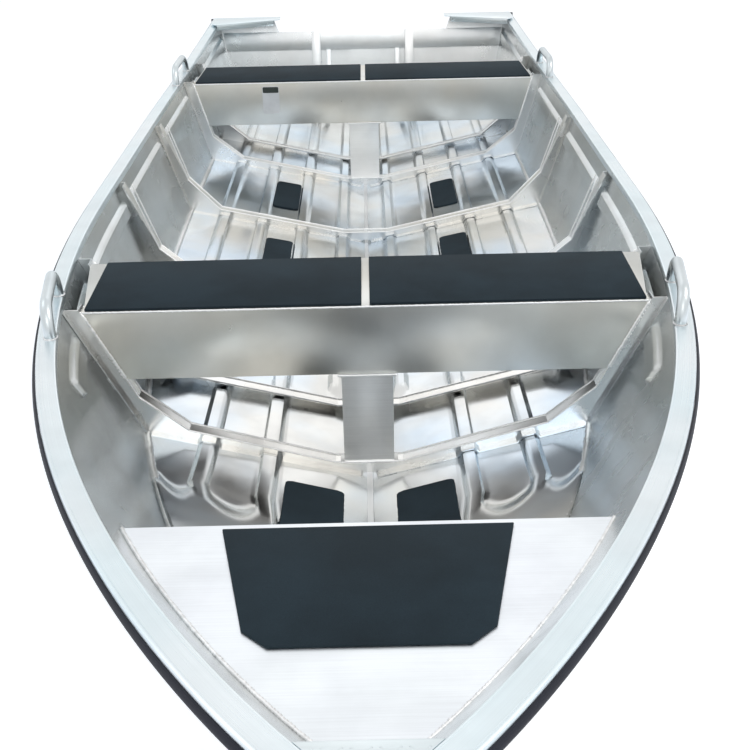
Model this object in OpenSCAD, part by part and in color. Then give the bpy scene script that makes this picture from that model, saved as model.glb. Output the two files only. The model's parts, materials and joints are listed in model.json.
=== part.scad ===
// Open aluminium boat with a pressed V bottom, six welded frames and two box thwarts.
// Bow towards -Y, port side towards +X, up +Z; the origin is amidships on the waterline.

/* [Hull] */
// Distance from the first frame forward to the stem head
bow_length = 1515; // [1300:5:1750]
// Distance from the first frame aft to the last frame
waist_length = 2550; // [2400:10:2800]
// Distance from the last frame aft to the top of the transom
stern_length = 785; // [600:5:900]
// Half breadth of the shell at the gunwale amidships
half_beam = 724; // [700:1:760]
// Half breadth of the shell at the chine, aft
chine_half = 620; // [600:1:640]
// Height of the gunwale above the keel amidships
side_height = 457; // [440:1:500]
// Rise of the sheer from amidships to the stem head
sheer_rise = 130; // [90:5:170]
// Rise of the sheer from amidships to the transom
stern_rise = 42; // [20:1:60]
// Narrowing of the gunwale towards the transom, each side
stern_narrow = 36; // [10:1:50]
// Distance aft of the first frame at which the gunwale begins to curve in
taper_start = 750; // [600:10:900]
// Height of the chine above the keel, aft
chine_height = 130; // [115:1:145]
// Height above the keel at which the chine runs into the stem
stem_chine_height = 330; // [300:5:350]
// Distance that the chine's end lies behind the stem head
stem_rake = 300; // [260:5:330]
// Lean of the transom, in degrees
transom_rake = 10; // [4:1:14]
// Depth of the keel under water when the boat floats empty
draught = 90; // [70:1:110]
// Thickness of the shell plates
plate = 3; // [2.5:0.5:4]

/* [Pressed bottom] */
// Height of the pressed ribs
rib_height = 12; // [8:1:14]
// Width of a pressed rib at its foot
rib_width = 46; // [40:1:50]
// Height of the step at which the pressed pans end in the bow
pan_step = 11; // [6:1:12]
// Depth of the pressed swage in the sides
swage_depth = 11; // [6:1:14]

/* [Frames] */
// Width of a frame's flange along the boat
flange_width = 40; // [30:1:45]
// Height of a frame over the bottom plate
frame_height = 31; // [28:1:40]
// Height of a frame's flat middle plate over the keel
middle_height = 41; // [39:1:46]
// Depth of a side member inwards from the shell
member_depth = 35; // [30:1:45]
// Depth of the free side members at their upper end
member_tip = 17; // [14:1:30]
// Half width of the flat plate in the middle of a frame
middle_half = 79; // [70:1:90]
// Width of the lip on which a frame stands on the shell
lip_width = 16; // [10:1:20]
// Thickness of the frames and thwarts
sheet = 3; // [2:0.5:4]

/* [Thwarts] */
// Width of a thwart along the boat
thwart_width = 295; // [270:5:320]
// Height of the thwart's top above the keel
thwart_height = 438; // [425:1:438]
// Depth of the box under the thwart's top
thwart_depth = 166; // [140:1:175]
// Width of the post under a thwart
post_width = 117; // [90:1:130]
// Thickness of the soft pads
pad = 6; // [4:0.5:8]

/* [Gunwale and fittings] */
// Width of the gunwale's top
gunwale_width = 36; // [34:1:44]
// Depth of the gunwale's outer leg
gunwale_depth = 22; // [20:1:34]
// Outside diameter of the handle tube
handle_tube = 25; // [20:1:28]
// Length of a handle between the middles of its feet
handle_length = 245; // [200:5:280]
// Height of a handle to the middle of its tube
handle_height = 60; // [58:1:72]
// Lean of a handle outwards, in degrees
handle_lean = 4; // [0:1:12]
// Depth of the foredeck under the gunwale
deck_drop = 80; // [70:1:95]
// Depth of the foredeck's forward edge under the gunwale
deck_bow_drop = 112; // [100:1:120]

/* [Hidden] */
$fn = 32;
// clearance between neighbouring pieces
fit = 0.3;
keel_half = 6.5;
rake_tan = tan(transom_rake);
// station from which the chine runs straight to the transom
aft_start = 0.63 * waist_length;
first_frame = -(bow_length + waist_length + stern_length) / 2 + bow_length;
stern = waist_length + stern_length;
thwart_pair = thwart_width + 20;
frame_e = waist_length;
frame_d = waist_length - thwart_pair;
frame_b = thwart_pair;
frame_b2 = frame_b + 0.323 * (frame_d - frame_b);
frame_c = frame_b + 0.659 * (frame_d - frame_b);
// pressed ribs: distance from the keel, station of the forward end
ribs = [[85, frame_b + 30], [230, -0.15 * bow_length], [370, -0.15 * bow_length], [500, 230]];
// the pans between the ribs end in a step
pan_end = -0.165 * bow_length;
function pan_lift(q) = pan_step * min(max((pan_end - q) / 30, 0), 1);
rib_top = rib_width * 0.5;
// low down, stations forward of the first frame lie closer together by the rake of the stem
stem_scale = bow_length / (bow_length - stem_rake);
// frames: station, knee foot, knee head over the keel, web side
frames = [
  [0, 414, 226, -1],
  [frame_b, 440, 235, 1],
  [frame_b2, 480, 248, 1],
  [frame_c, 514, 250, -1],
  [frame_d, 496, 228, -1],
  [frame_e, 496, 228, 1],
];

deck_share = 0.565;

function lerp(a, b, t) = a + (b - a) * t;
function soft(t, p, w) = pow(1 - pow(t, p), w);
// Stations are measured aft of the first frame; forward of it they are negative.
function gunwale_x(q) =
  let(run = taper_start + bow_length, t = max(taper_start - q, 0) / run)
  (half_beam - 12) * soft(min(t, 1), 2.3, 0.9) + 12 - stern_narrow * pow(max(q - aft_start, 0) / (stern - aft_start), 1.4);
function gunwale_z(q) =
  side_height + sheer_rise * pow(min(q - 200, 0) / (200 + bow_length), 2)
  + stern_rise * pow(max(q - aft_start, 0) / (stern - aft_start), 2);
function chine_x(q) =
  let(t = max(aft_start - q, 0) / (aft_start + bow_length))
  (chine_half - 12) * soft(min(t, 1), 2.6, 1) + 12;
function chine_z(q) =
  chine_height + (stem_chine_height - chine_height) * pow(max(-q, 0) / bow_length, 1.9);
function keel_z(q) = stem_chine_height * pow(max(-q, 0) / bow_length, 3.2);
// the run of each line along the boat, with the raked stem and the raked transom
function along(q, z) =
  q < 0 ? first_frame + q * lerp(bow_length - stem_rake, bow_length,
      max(z - stem_chine_height, 0) / (side_height + sheer_rise - stem_chine_height)) / bow_length
  : q <= frame_e ? first_frame + q
  : first_frame + frame_e + (q - frame_e) * (stern_length - (gunwale_z(stern) - z) * rake_tan) / stern_length;
function gunwale_point(q) =
  let(z = gunwale_z(q))
  [gunwale_x(q), q < 0 ? first_frame + q : along(q, z), z - draught];
function chine_point(q) =
  let(z = chine_z(q))
  [chine_x(q), q < 0 ? first_frame + q * (bow_length - stem_rake) / bow_length : along(q, z), z - draught];
function keel_point(q) =
  let(z = keel_z(q))
  [keel_half + fit, q < 0 ? first_frame + q * (bow_length - stem_rake) / bow_length : along(q, z), z - draught];

// plate thickness measured straight up through the bottom and straight in through the side
function bottom_up(q) =
  let(k = keel_point(q), c = chine_point(q))
  plate * sqrt(1 + pow((c.z - k.z) / (c.x - k.x), 2));
function side_in(q) =
  let(a = gunwale_point(q - 5), b = gunwale_point(q + 5), s = (b.x - a.x) / (b.y - a.y),
      g = gunwale_point(q), c = chine_point(q), f = (g.x - c.x) / (g.z - c.z))
  plate * sqrt(1 + s * s + f * f);

// closed skin over two grids of points that share their edges
module skin(outer, inner) {
  rows = len(outer);
  cols = len(outer[0]);
  n = rows * cols;
  points = [for (row = outer) each row, for (row = inner) each row];
  faces = [
    for (i = [0:rows - 2], j = [0:cols - 2])
      let(a = i * cols + j, b = a + 1, c = a + cols, d = c + 1)
      each [[a, d, b], [a, c, d], [n + a, n + b, n + d], [n + a, n + d, n + c]],
    for (j = [0:cols - 2])
      let(a = j, b = j + 1, e = (rows - 1) * cols)
      each [[a, n + b, n + a], [a, b, n + b], [e + a, n + e + b, e + b], [e + a, n + e + a, n + e + b]],
    for (i = [0:rows - 2])
      let(a = i * cols, c = a + cols, b = a + cols - 1, d = b + cols)
      each [[a, n + c, c], [a, n + a, n + c], [b, n + d, n + b], [b, d, n + d]],
  ];
  polyhedron(points, faces, convexity = 10);
}

// closed loft through a row of sections with equal numbers of points
module loft(sections) {
  rows = len(sections);
  cols = len(sections[0]);
  points = [for (s = sections) each s];
  faces = [
    for (i = [0:rows - 2], j = [0:cols - 1])
      let(a = i * cols + j, b = i * cols + (j + 1) % cols, c = a + cols, d = b + cols)
      each [[a, b, d], [a, d, c]],
    [for (j = [cols - 1:-1:0]) j],
    [for (j = [0:cols - 1]) (rows - 1) * cols + j],
  ];
  polyhedron(points, faces, convexity = 10);
}

module both_sides(side) {
  if (side > 0) children();
  else mirror([1, 0, 0]) children();
}

// share of a pressed rib's height at a station: sloped ends forward and aft
function rib_share(rib, q) =
  min(max((q - ribs[rib][1]) / 25, 0), 1) * min(max((stern - 60 - q) / 25, 0), 1);
// rows of the bow, as shares of its length
bow_shares = [
  0.21, 0.265, 0.32, 0.38, 0.44, 0.505, deck_share, 0.62, 0.68, 0.74, 0.80, 0.855, 0.90, 0.925, 0.944, 0.96, 0.975, 1,
];
bottom_rows = [
  stern, stern - 60, stern - 85, frame_e, frame_d, frame_c, frame_b2, 600, frame_b + 55, frame_b + 30,
  frame_b, 255, 230, 120, 0,
  -0.07 * bow_length, ribs[1][1] + 25, ribs[1][1], pan_end, pan_end - 30, for (s = bow_shares) -s * bow_length,
];
rib_cols = [
  for (i = [0:3])
    each [[ribs[i][0] - rib_width / 2, 0, i], [ribs[i][0] - rib_top / 2, 1, i],
          [ribs[i][0] + rib_top / 2, 1, i], [ribs[i][0] + rib_width / 2, 0, i]],
];
function bottom_z(q, x) =
  let(k = keel_point(q), c = chine_point(q))
  lerp(k.z, c.z, (x - k.x) / (c.x - k.x));
// the three inner ribs run straight; the columns outside them close up with the chine, and all of them do so
// forward of the pans
function column_x(q, x) =
  let(s = max(q, pan_end), c = chine_x(s), inner = ribs[2][0] + rib_width / 2, k = keel_half + fit,
      at = x <= inner || q >= 260 ? x : inner + (x - inner) * (c - inner) / (chine_x(260) - inner))
  k + (at - k) * (q < pan_end ? (chine_x(q) - k) / (c - k) : 1);
function bottom_row(q, up) =
  let(k = keel_point(q), c = chine_point(q), lift = up * bottom_up(q))
  [
    k + [0, 0, lift],
    for (col = rib_cols)
      let(x = column_x(q, col[0]), z = bottom_z(q, x),
          y = along(q, z + draught))
      [x, q < 0 ? k.y : y, z + lift + max(rib_height * col[1] * rib_share(col[2], q),
        col[0] < ribs[1][0] - rib_top / 2 - 1 ? 0 : pan_lift(q) * min(max((c.x - x - 10) / 40, 0), 1))],
    c + [0, 0, lift],
  ];
module bottom(side) {
  both_sides(side)
    skin([for (q = bottom_rows) bottom_row(q, 0)], [for (q = bottom_rows) bottom_row(q, 1)]);
}

// the sides stand on the bottom's edge; a swage is pressed inwards between the frames
swage_end = -0.195 * bow_length;
function bay_rows(a, b) = [b, b - 30, b - 55, a + 55, a + 30];
side_rows = [
  stern,
  stern - 60,
  stern - 85,
  frame_e + 55,
  frame_e + 30,
  each bay_rows(frame_d, frame_e),
  each bay_rows(frame_c, frame_d),
  each bay_rows(frame_b2, frame_c),
  frame_b2, frame_b2 - 30, frame_b2 - 55, 750, 620, 490, frame_b + 55, frame_b + 30,
  each bay_rows(0, frame_b),
  0, -30, -55, -0.08 * bow_length, swage_end + 25, swage_end, for (s = bow_shares) -s * bow_length,
];
function near_frame(q) = min([for (f = frames) abs(q - f[0])]);
function swage_share(q) =
  min(max((near_frame(q) - 30) / 25, 0), 1)
  * min(max((q - swage_end) / 25, 0), 1) * min(max((stern - 60 - q) / 25, 0), 1);
// side columns: share of the height under the gunwale, share of the swage
side_cols = [[0, 0], [0.16, 0], [0.2, 1], [0.27, 1], [0.31, 0], [0.65, 0], [1, 0]];
function side_foot(q) =
  let(g = gunwale_point(q), c = chine_point(q), up = bottom_up(q) + fit + 0.4 + 0.4 * max(-q, 0) / bow_length)
  c + (g - c) * up / (g.z - c.z);
function side_row(q, into) =
  let(g = gunwale_point(q), c = side_foot(q), t = into * side_in(q))
  [
    for (col = side_cols)
      let(p = lerp(g, c, col[0]))
      p - [t + swage_depth * col[1] * swage_share(q), 0, 0],
  ];
module side(side) {
  both_sides(side)
    skin([for (q = side_rows) side_row(q, 1)], [for (q = side_rows) side_row(q, 0)]);
}
// inner face of the side at a height over the waterline
function side_face(q, z) =
  let(g = gunwale_point(q), c = side_foot(q))
  lerp(c.x, g.x, (z - c.z) / (g.z - c.z)) - side_in(q);

module bottom_port() { color([0.80, 0.82, 0.84]) bottom(1); }
module bottom_starboard() { color([0.80, 0.82, 0.84]) bottom(-1); }
module side_port() { color([0.72, 0.74, 0.76]) side(1); }
module side_starboard() { color([0.72, 0.74, 0.76]) side(-1); }

// keel and stem bar between the two halves of the shell
keel_rows = [stern - 4, frame_e, 0, -0.11 * bow_length, for (s = bow_shares) -s * bow_length];
function keel_edge(q) = let(k = keel_point(q)) [k.y, k.z];
module keel_bar() {
  top = gunwale_point(-bow_length);
  low = keel_point(-bow_length);
  drop = (gunwale_depth + 8) / (top.z - low.z);
  head = [lerp(top.y, low.y, drop), lerp(top.z, low.z, drop)];
  line = [for (q = keel_rows) keel_edge(q)];
  outer = mitre([each line, head], -14);
  inner = mitre([each line, head], plate + 4);
  color([0.78, 0.80, 0.82])
    rotate([90, 0, 90])
      translate([0, 0, -keel_half])
        linear_extrude(2 * keel_half)
          polygon([each outer, for (i = [len(inner) - 1:-1:0]) inner[i]]);
}

// offset of an open path to its right-hand side, with mitred corners
function side_normal(a, b) = let(d = b - a) [d.y, -d.x] / norm(d);
function mitre(path, d) = [
  for (i = [0:len(path) - 1])
    let(n = len(path) - 1,
        n1 = i > 0 ? side_normal(path[i - 1], path[i]) : side_normal(path[0], path[1]),
        n2 = i < n ? side_normal(path[i], path[i + 1]) : n1)
    path[i] + d * (n1 + n2) / (1 + n1 * n2),
];
function mirrored(path) = [for (i = [len(path) - 1:-1:0]) [-path[i].x, path[i].y]];

// a frame's inner edge, from the middle plate over the knee to the gunwale
function member_x(f, z) = side_face(f[0] - (f[3] < 0 ? sheet : 0), z) - member_depth;
function frame_inner(f) =
  let(q = f[0], k = keel_point(q).z,
      arm = bottom_z(q, f[1]) + frame_height,
      top = gunwale_point(q).z - 14, slim = q == frame_b2 || q == frame_c ? member_depth - member_tip : 0)
  [[middle_half, k + middle_height], [f[1], arm],
   [member_x(f, f[2] - draught), f[2] - draught], [member_x(f, top) + slim, top]];
// a frame's outer edge on the shell, with notches over the keel and the ribs
function frame_outer(f, q) =
  let(up = bottom_up(q) + fit,
      foot = side_foot(q), top = gunwale_point(q).z - 14, edge = foot.x - side_in(q) - fit - 3)
  [
    [12, bottom_z(q, 12) + up + 9],
    [20, bottom_z(q, 20) + up],
    for (i = [0:3])
      if (rib_share(i, q) > 0 || rib_share(i, f[0]) > 0)
        let(x = column_x(q, ribs[i][0]), a = rib_width / 2 + 3, b = rib_top / 2 + 3)
        each [[x - a, bottom_z(q, x - a) + up], [x - b, bottom_z(q, x - b) + up + rib_height + 1],
              [x + b, bottom_z(q, x + b) + up + rib_height + 1], [x + a, bottom_z(q, x + a) + up]],
    [edge, bottom_z(q, edge) + up + 1],
    [side_face(q, foot.z + 14) - fit, foot.z + 14],
    [side_face(q, top) - fit, top],
  ];
module frame(f) {
  inner = frame_inner(f);
  low = keel_point(f[0]).z;
  // the lip's outline is taken where the shell is narrowest under it
  foot = frame_outer(f, f[0] > aft_start ? f[0] + max(f[3], 0) * lip_width : f[0] + min(f[3], 0) * lip_width * stem_scale);
  outer = f[0] > 0 ? foot : frame_outer(f, f[0] - sheet * stem_scale);
  path = [each mirrored(inner), each inner];
  shell = [each mirrored(outer), each outer];
  back = mitre(path, sheet);
  stand = [each mirrored(foot), each foot];
  lip = mitre(stand, -sheet);
  translate([0, first_frame + f[0] + (f[3] < 0 ? flange_width - sheet : sheet), 0])
    rotate([90, 0, 0])
      color([0.74, 0.76, 0.78]) {
        linear_extrude(flange_width)
          polygon([each path, for (i = [len(back) - 1:-1:0]) back[i]]);
        translate([0, 0, f[3] < 0 ? flange_width - sheet : 0])
          linear_extrude(sheet)
            polygon([each shell, for (i = [len(path) - 1:-1:0]) path[i]]);
        translate([0, 0, f[3] < 0 ? flange_width - sheet / 2 : sheet - lip_width])
          linear_extrude(lip_width - sheet / 2)
            difference() {
              polygon([each stand, for (i = [len(lip) - 1:-1:0]) lip[i]]);
              translate([-17, low - 20])
                square([34, 80]);
            }
      }
}
module frame_1() { frame(frames[0]); }
module frame_2() { frame(frames[1]); }
module frame_3() { frame(frames[2]); }
module frame_4() { frame(frames[3]); }
module frame_5() { frame(frames[4]); }
module frame_6() { frame(frames[5]); }

// box thwart between two frames, cut to their side members
function thwart_section(f, y, low, high, trim) =
  let(z0 = thwart_height - draught - thwart_depth + low, z1 = thwart_height - draught - high,
      a = member_x(f, z0) - fit - trim, b = member_x(f, z1) - fit - trim)
  [[-a, y, z0], [a, y, z0], [b, y, z1], [-b, y, z1]];
module thwart(fore, aft) {
  y0 = first_frame + fore[0];
  y1 = y0 + thwart_width;
  color([0.66, 0.66, 0.66])
    difference() {
      loft([
        thwart_section(fore, y0, 0, 0, 0),
        thwart_section(fore, y0 + flange_width - sheet, 0, 0, 0),
        thwart_section(aft, first_frame + aft[0] + sheet - flange_width, 0, 0, 0),
        thwart_section(aft, y1, 0, 0, 0),
      ]);
      loft([
        thwart_section(fore, y0 + sheet, -1, sheet, sheet + 1),
        thwart_section(fore, y0 + flange_width, -1, sheet, sheet + 1),
        thwart_section(aft, first_frame + aft[0] - flange_width, -1, sheet, sheet + 6),
        thwart_section(aft, y1 - sheet, -1, sheet, sheet + 1),
      ]);
    }
}
module main_thwart() { thwart(frames[0], frames[1]); }
module stern_thwart() { thwart(frames[4], frames[5]); }

// soft pads on the thwarts, with a gap amidships
module thwart_pad(fore, aft, side) {
  y0 = first_frame + fore[0] + 5;
  y1 = y0 + thwart_width - 12;
  z = thwart_height - draught;
  a = member_x(fore, z) - 8;
  both_sides(side)
    color([0.14, 0.17, 0.20])
      translate([0, 0, z])
        linear_extrude(pad)
          polygon([[9, y0], [a, y0], [min(a + 4, member_x(aft, z) - 9), y1], [9, y1]]);
}
module main_pad_port() { thwart_pad(frames[0], frames[1], 1); }
module main_pad_starboard() { thwart_pad(frames[0], frames[1], -1); }
module stern_pad_port() { thwart_pad(frames[4], frames[5], 1); }
module stern_pad_starboard() { thwart_pad(frames[4], frames[5], -1); }

// folded post from the frame's middle plate to the thwart
module post(f) {
  z0 = keel_point(f[0]).z + middle_height;
  z1 = thwart_height - draught - thwart_depth;
  color([0.70, 0.71, 0.72])
    translate([0, first_frame + f[0] + 2, z0])
      union() {
        difference() {
          translate([-post_width / 2, 0, 0])
            cube([post_width, flange_width - 8, z1 - z0]);
          translate([-post_width / 2 + sheet, sheet, -1])
            cube([post_width - 2 * sheet, flange_width, z1 - z0 + 2]);
        }
        // welded plates at its foot and head
        for (end = [[0, 9], [z1 - z0 - sheet, 5]])
          translate([-post_width / 2 - end[1], -5, end[0]])
            cube([post_width + 2 * end[1], flange_width - 6, sheet]);
      }
}
module main_post() { post(frames[0]); }
module stern_post() { post(frames[4]); }

// gunwale extrusion over the side's top edge
gunwale_rows = [stern - 6, for (i = [1:len(side_rows) - 1]) side_rows[i]];
// outwards, up: the hollow cap grips the plate's edge
cap_in = 13;
cap_out = gunwale_width - cap_in;
// the inner leg gets shorter towards the bow, where the side leans out more
function cap_leg(q) = 12 - 11 * pow(max(-q, 0) / bow_length, 1.2);
function cap_profile(q) = [
  [-cap_in, -cap_leg(q)], [-cap_in, 4], [-cap_in + 3, 7], [cap_out - 5, 7], [cap_out, 2],
  [cap_out, 6 - gunwale_depth], [fit + 0.4, 6 - gunwale_depth], [fit + 0.4, fit], [2 - cap_in, fit],
  [2 - cap_in, -cap_leg(q)],
];
strip_profile = [
  [cap_out + fit, 1], [cap_out + 7, -1], [cap_out + 10, -8], [cap_out + 8, 8 - gunwale_depth],
  [cap_out + fit, 5 - gunwale_depth],
];
function plan_normal(q) =
  let(a = gunwale_point(min(q + 6, stern)), b = gunwale_point(max(q - 6, -bow_length)),
      d = [a.x - b.x, a.y - b.y])
  [d.y, -d.x] / norm(d);
function band_section(q, profile) =
  let(g = gunwale_point(q), n = plan_normal(q), t = [-n.y, n.x])
  [
    for (p = profile)
      let(x = g.x + n.x * p.x, y = g.y + n.y * p.x)
      q > -bow_length ? [x, y, g.z + p.y]
      : let(s = (fit - x) / t.x) [fit, y + t.y * s, g.z + p.y],
  ];
module gunwale(side) {
  both_sides(side)
    loft([for (q = gunwale_rows) band_section(q, cap_profile(q))]);
}
module rub_strip(side) {
  both_sides(side)
    loft([for (q = gunwale_rows) band_section(q, strip_profile)]);
}
module gunwale_port() { color([0.90, 0.93, 0.94]) gunwale(1); }
module gunwale_starboard() { color([0.90, 0.93, 0.94]) gunwale(-1); }
module rub_strip_port() { color([0.06, 0.07, 0.10]) rub_strip(1); }
module rub_strip_starboard() { color([0.06, 0.07, 0.10]) rub_strip(-1); }

// raked transom behind the shell
module transom_frame() {
  translate([0, first_frame + stern, gunwale_z(stern) - draught])
    rotate([90 - transom_rake, 0, 0])
      children();
}
function on_transom(p) = [p.x, (p.z - gunwale_z(stern) + draught) / cos(transom_rake)];
notch_half = 400;
notch_depth = 60;
doubler_height = 84;
doubler_depth = 22;
module transom_plate() {
  g = gunwale_point(stern);
  c = chine_point(stern);
  k = keel_point(stern);
  gg = on_transom(g) + [2, 0];
  cc = on_transom(c) + [3, -2];
  kk = on_transom(k) + [0, -3];
  color([0.74, 0.76, 0.78])
    transom_frame()
      translate([0, 0, -plate - 1 - fit])
        linear_extrude(plate + 1)
          polygon([
            kk, cc, gg, [notch_half + 25, 0], [notch_half, -notch_depth],
            [-notch_half, -notch_depth], [-notch_half - 25, 0], [-gg.x, gg.y], [-cc.x, cc.y], [-kk.x, kk.y],
          ]);
}
module transom_doubler() {
  z1 = -notch_depth;
  a = side_face(stern - 30, gunwale_z(stern) - draught - notch_depth) - 8;
  b = side_face(stern - 30, gunwale_z(stern) - draught - notch_depth - doubler_height) - 8;
  color([0.78, 0.80, 0.82])
    transom_frame()
      linear_extrude(doubler_depth)
        polygon([[-b, z1 - doubler_height], [b, z1 - doubler_height], [a, z1], [-a, z1]]);
}
// two posts stand before the doubler, two shorter ones under it: middle, width, top
stiffeners = [[222, 40, notch_depth], [165, 22, notch_depth + doubler_height]];
stiffener_depth = 28;
module transom_stiffeners() {
  foot = -(gunwale_z(stern) - bottom_z(stern, stiffeners[0][0]) - draught) / cos(transom_rake) + 40;
  under = -notch_depth - doubler_height - fit;
  color([0.70, 0.72, 0.74])
    transom_frame()
      for (s = stiffeners, side = [-1, 1])
        translate([side * s[0] - s[1] / 2, foot, fit]) {
          cube([s[1], under - foot, doubler_depth + stiffener_depth / (s[2] > notch_depth ? 4 : 1)]);
          if (s[2] == notch_depth)
            translate([0, 0, doubler_depth])
              cube([s[1], -notch_depth - foot, stiffener_depth]);
        }
}
// flat corner plates between the gunwale and the transom, with black end caps
module corner_plate(side) {
  g = gunwale_point(stern);
  z = g.z + 7 + fit;
  both_sides(side)
    color([0.88, 0.91, 0.92])
      translate([0, 0, z]) {
        linear_extrude(sheet)
          polygon([
            [notch_half - 10, g.y + 1], [g.x + 18, g.y + 1], [g.x + 18, g.y - 150],
            [g.x - cap_in + 1, g.y - 190], [notch_half + 20, g.y - 90], [notch_half - 10, g.y - 70],
          ]);
        // the forward edge is folded down
        hull() {
          translate([g.x - cap_in - 3, g.y - 190 + 1, -22])
            cube([2, sheet, 22]);
          translate([notch_half + 20, g.y - 90, -22])
            cube([2, sheet, 22]);
        }
      }
}
module corner_plate_port() { corner_plate(1); }
module corner_plate_starboard() { corner_plate(-1); }
module corner_cap(side) {
  g = gunwale_point(stern);
  both_sides(side)
    color([0.05, 0.05, 0.06])
      translate([g.x + 2 + fit, g.y - 4, g.z - gunwale_depth + 6])
        cube([cap_out + 9, 13, gunwale_depth + 0.5]);
}
module corner_cap_port() { corner_cap(1); }
module corner_cap_starboard() { corner_cap(-1); }

// bent tube handles on the gunwale
handle_bend = 54;
handle_seat = -4;
handle_foot = handle_tube / 2 * tan(handle_lean) + 0.1;
module handle(q, side) {
  g = gunwale_point(q);
  r = handle_bend;
  n = plan_normal(q);
  sheer = atan((gunwale_z(q + 5) - gunwale_z(q - 5)) / 10);
  both_sides(side)
    color([0.82, 0.85, 0.86])
      translate([g.x + n.x * handle_seat, g.y + n.y * handle_seat, g.z + 7.4 + fit])
        rotate([sheer, handle_lean, atan2(n.y, n.x)]) {
            for (s = [-1, 1]) {
              translate([0, s * handle_length / 2, handle_foot])
                cylinder(d = handle_tube, h = handle_height - r - handle_foot);
              translate([0, s * (handle_length / 2 - r), handle_height - r])
                rotate([90, 0, s > 0 ? 90 : -90])
                  rotate_extrude(angle = 90)
                    translate([r, 0])
                      circle(d = handle_tube);
            }
            translate([0, -handle_length / 2 + r, handle_height])
              rotate([-90, 0, 0])
                cylinder(d = handle_tube, h = handle_length - 2 * r);
          }
}
handle_fore_q = -0.053 * bow_length;
handle_aft_q = frame_d - 20;
module handle_fore_port() { handle(handle_fore_q, 1); }
module handle_fore_starboard() { handle(handle_fore_q, -1); }
module handle_aft_port() { handle(handle_aft_q, 1); }
module handle_aft_starboard() { handle(handle_aft_q, -1); }

// foredeck, sunk below the gunwale, with a folded rear edge
deck_rear_q = -deck_share * bow_length;
deck_front_q = -0.944 * bow_length;
deck_rear_z = gunwale_z(deck_rear_q) - draught - deck_drop;
deck_front_z = gunwale_z(deck_front_q) - draught - deck_bow_drop;
deck_slope = (deck_front_z - deck_rear_z) / (deck_front_q - deck_rear_q);
deck_rows = [for (q = side_rows) if (q <= deck_rear_q && q >= deck_front_q) q];
function deck_edge(q) =
  let(g = gunwale_point(q), c = side_foot(q), a = deck_rear_z + deck_slope * (g.y - first_frame - deck_rear_q),
      v = (a - g.z) / ((c.z - g.z) - deck_slope * (c.y - g.y)), p = lerp(g, c, v))
  [p.x - side_in(q) - fit - 0.75, p.y, p.z];
module foredeck() {
  rear = deck_edge(deck_rear_q);
  color([0.84, 0.83, 0.86]) {
    loft([
      for (q = deck_rows)
        let(p = deck_edge(q), in = sheet + 0.5)
        [[-p.x, p.y, p.z], [p.x, p.y, p.z], [p.x - in, p.y, p.z - sheet], [-p.x + in, p.y, p.z - sheet]],
    ]);
    translate([0, rear.y + sheet, rear.z - 1])
      rotate([90, 0, 0])
        linear_extrude(sheet)
          polygon([[3 - rear.x, 0], [34 - rear.x, -39], [rear.x - 34, -39], [rear.x - 3, 0]]);
  }
}
// black pad with cut front corners: half width, distance forward of the deck's edge
pad_outline = [[225, 14], [171, 275], [134, 313]];
module foredeck_pad() {
  rear = deck_edge(deck_rear_q);
  color([0.14, 0.17, 0.20])
    translate([0, rear.y, rear.z + 0.1])
      rotate([atan(deck_slope), 0, 0])
        linear_extrude(pad - 2)
          polygon([
            for (p = pad_outline) [p[0], -p[1]],
            for (i = [2:-1:0]) [-pad_outline[i][0], -pad_outline[i][1]],
          ]);
}
// tread plate between the gunwales at the bow
module bow_plate() {
  color([0.86, 0.89, 0.90])
    loft([
      for (s = [0.944, 0.96, 0.975])
        let(q = -s * bow_length, g = gunwale_point(q), n = plan_normal(q),
            x = g.x - n.x * (cap_in + fit), y = g.y - n.y * (cap_in + fit))
        [[-x, y, g.z + 2 + sheet], [x, y, g.z + 2 + sheet], [x, y, g.z + 2], [-x, y, g.z + 2]],
    ]);
}

// pads on the bottom plates between the ribs
module floor_pad(q0, q1, x0, x1, side) {
  thick = pad - 2;
  both_sides(side)
    loft([
      for (s = [
        [0, 14], [4, 5], [14, 0],
        for (i = [len(bottom_rows) - 1:-1:0])
          let(b = bottom_rows[i]) if (b > q0 + 15 && b < q1 - 15) [b - q0, 0],
        [q1 - q0 - 14, 0], [q1 - q0 - 4, 5], [q1 - q0, 14],
      ])
        let(q = q0 + s[0], a = x0 + s[1], b = x1 - s[1], up = bottom_up(q) + fit + 0.65,
            za = bottom_z(q, a) + up, zb = bottom_z(q, b) + up, y = keel_point(q).y)
        [[a, y, za], [b, y, zb], [b, y, zb + thick], [a, y, za + thick]],
    ]);
}
module floor_pads(q0, q1, x0, x1) {
  color([0.14, 0.17, 0.20])
    for (side = [-1, 1])
      floor_pad(q0, q1, x0, x1, side);
}
// the pads lie between the second and third ribs, in the bow inside the second
pad_clear = rib_width / 2 + 2;
module floor_pads_bow() {
  floor_pads(-0.256 * bow_length, -0.085 * bow_length, ribs[0][0] - pad_clear, ribs[1][0] - pad_clear - 15);
}
module floor_pads_mid() {
  bay = frame_c - frame_b2;
  floor_pads(frame_c - 0.65 * bay, frame_c - 0.2 * bay, ribs[1][0] + pad_clear, ribs[2][0] - pad_clear);
}
module floor_pads_aft() {
  bay = frame_d - frame_c;
  floor_pads(frame_d - 0.68 * bay, frame_d - 0.22 * bay, ribs[1][0] + pad_clear, ribs[2][0] - pad_clear);
}

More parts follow.
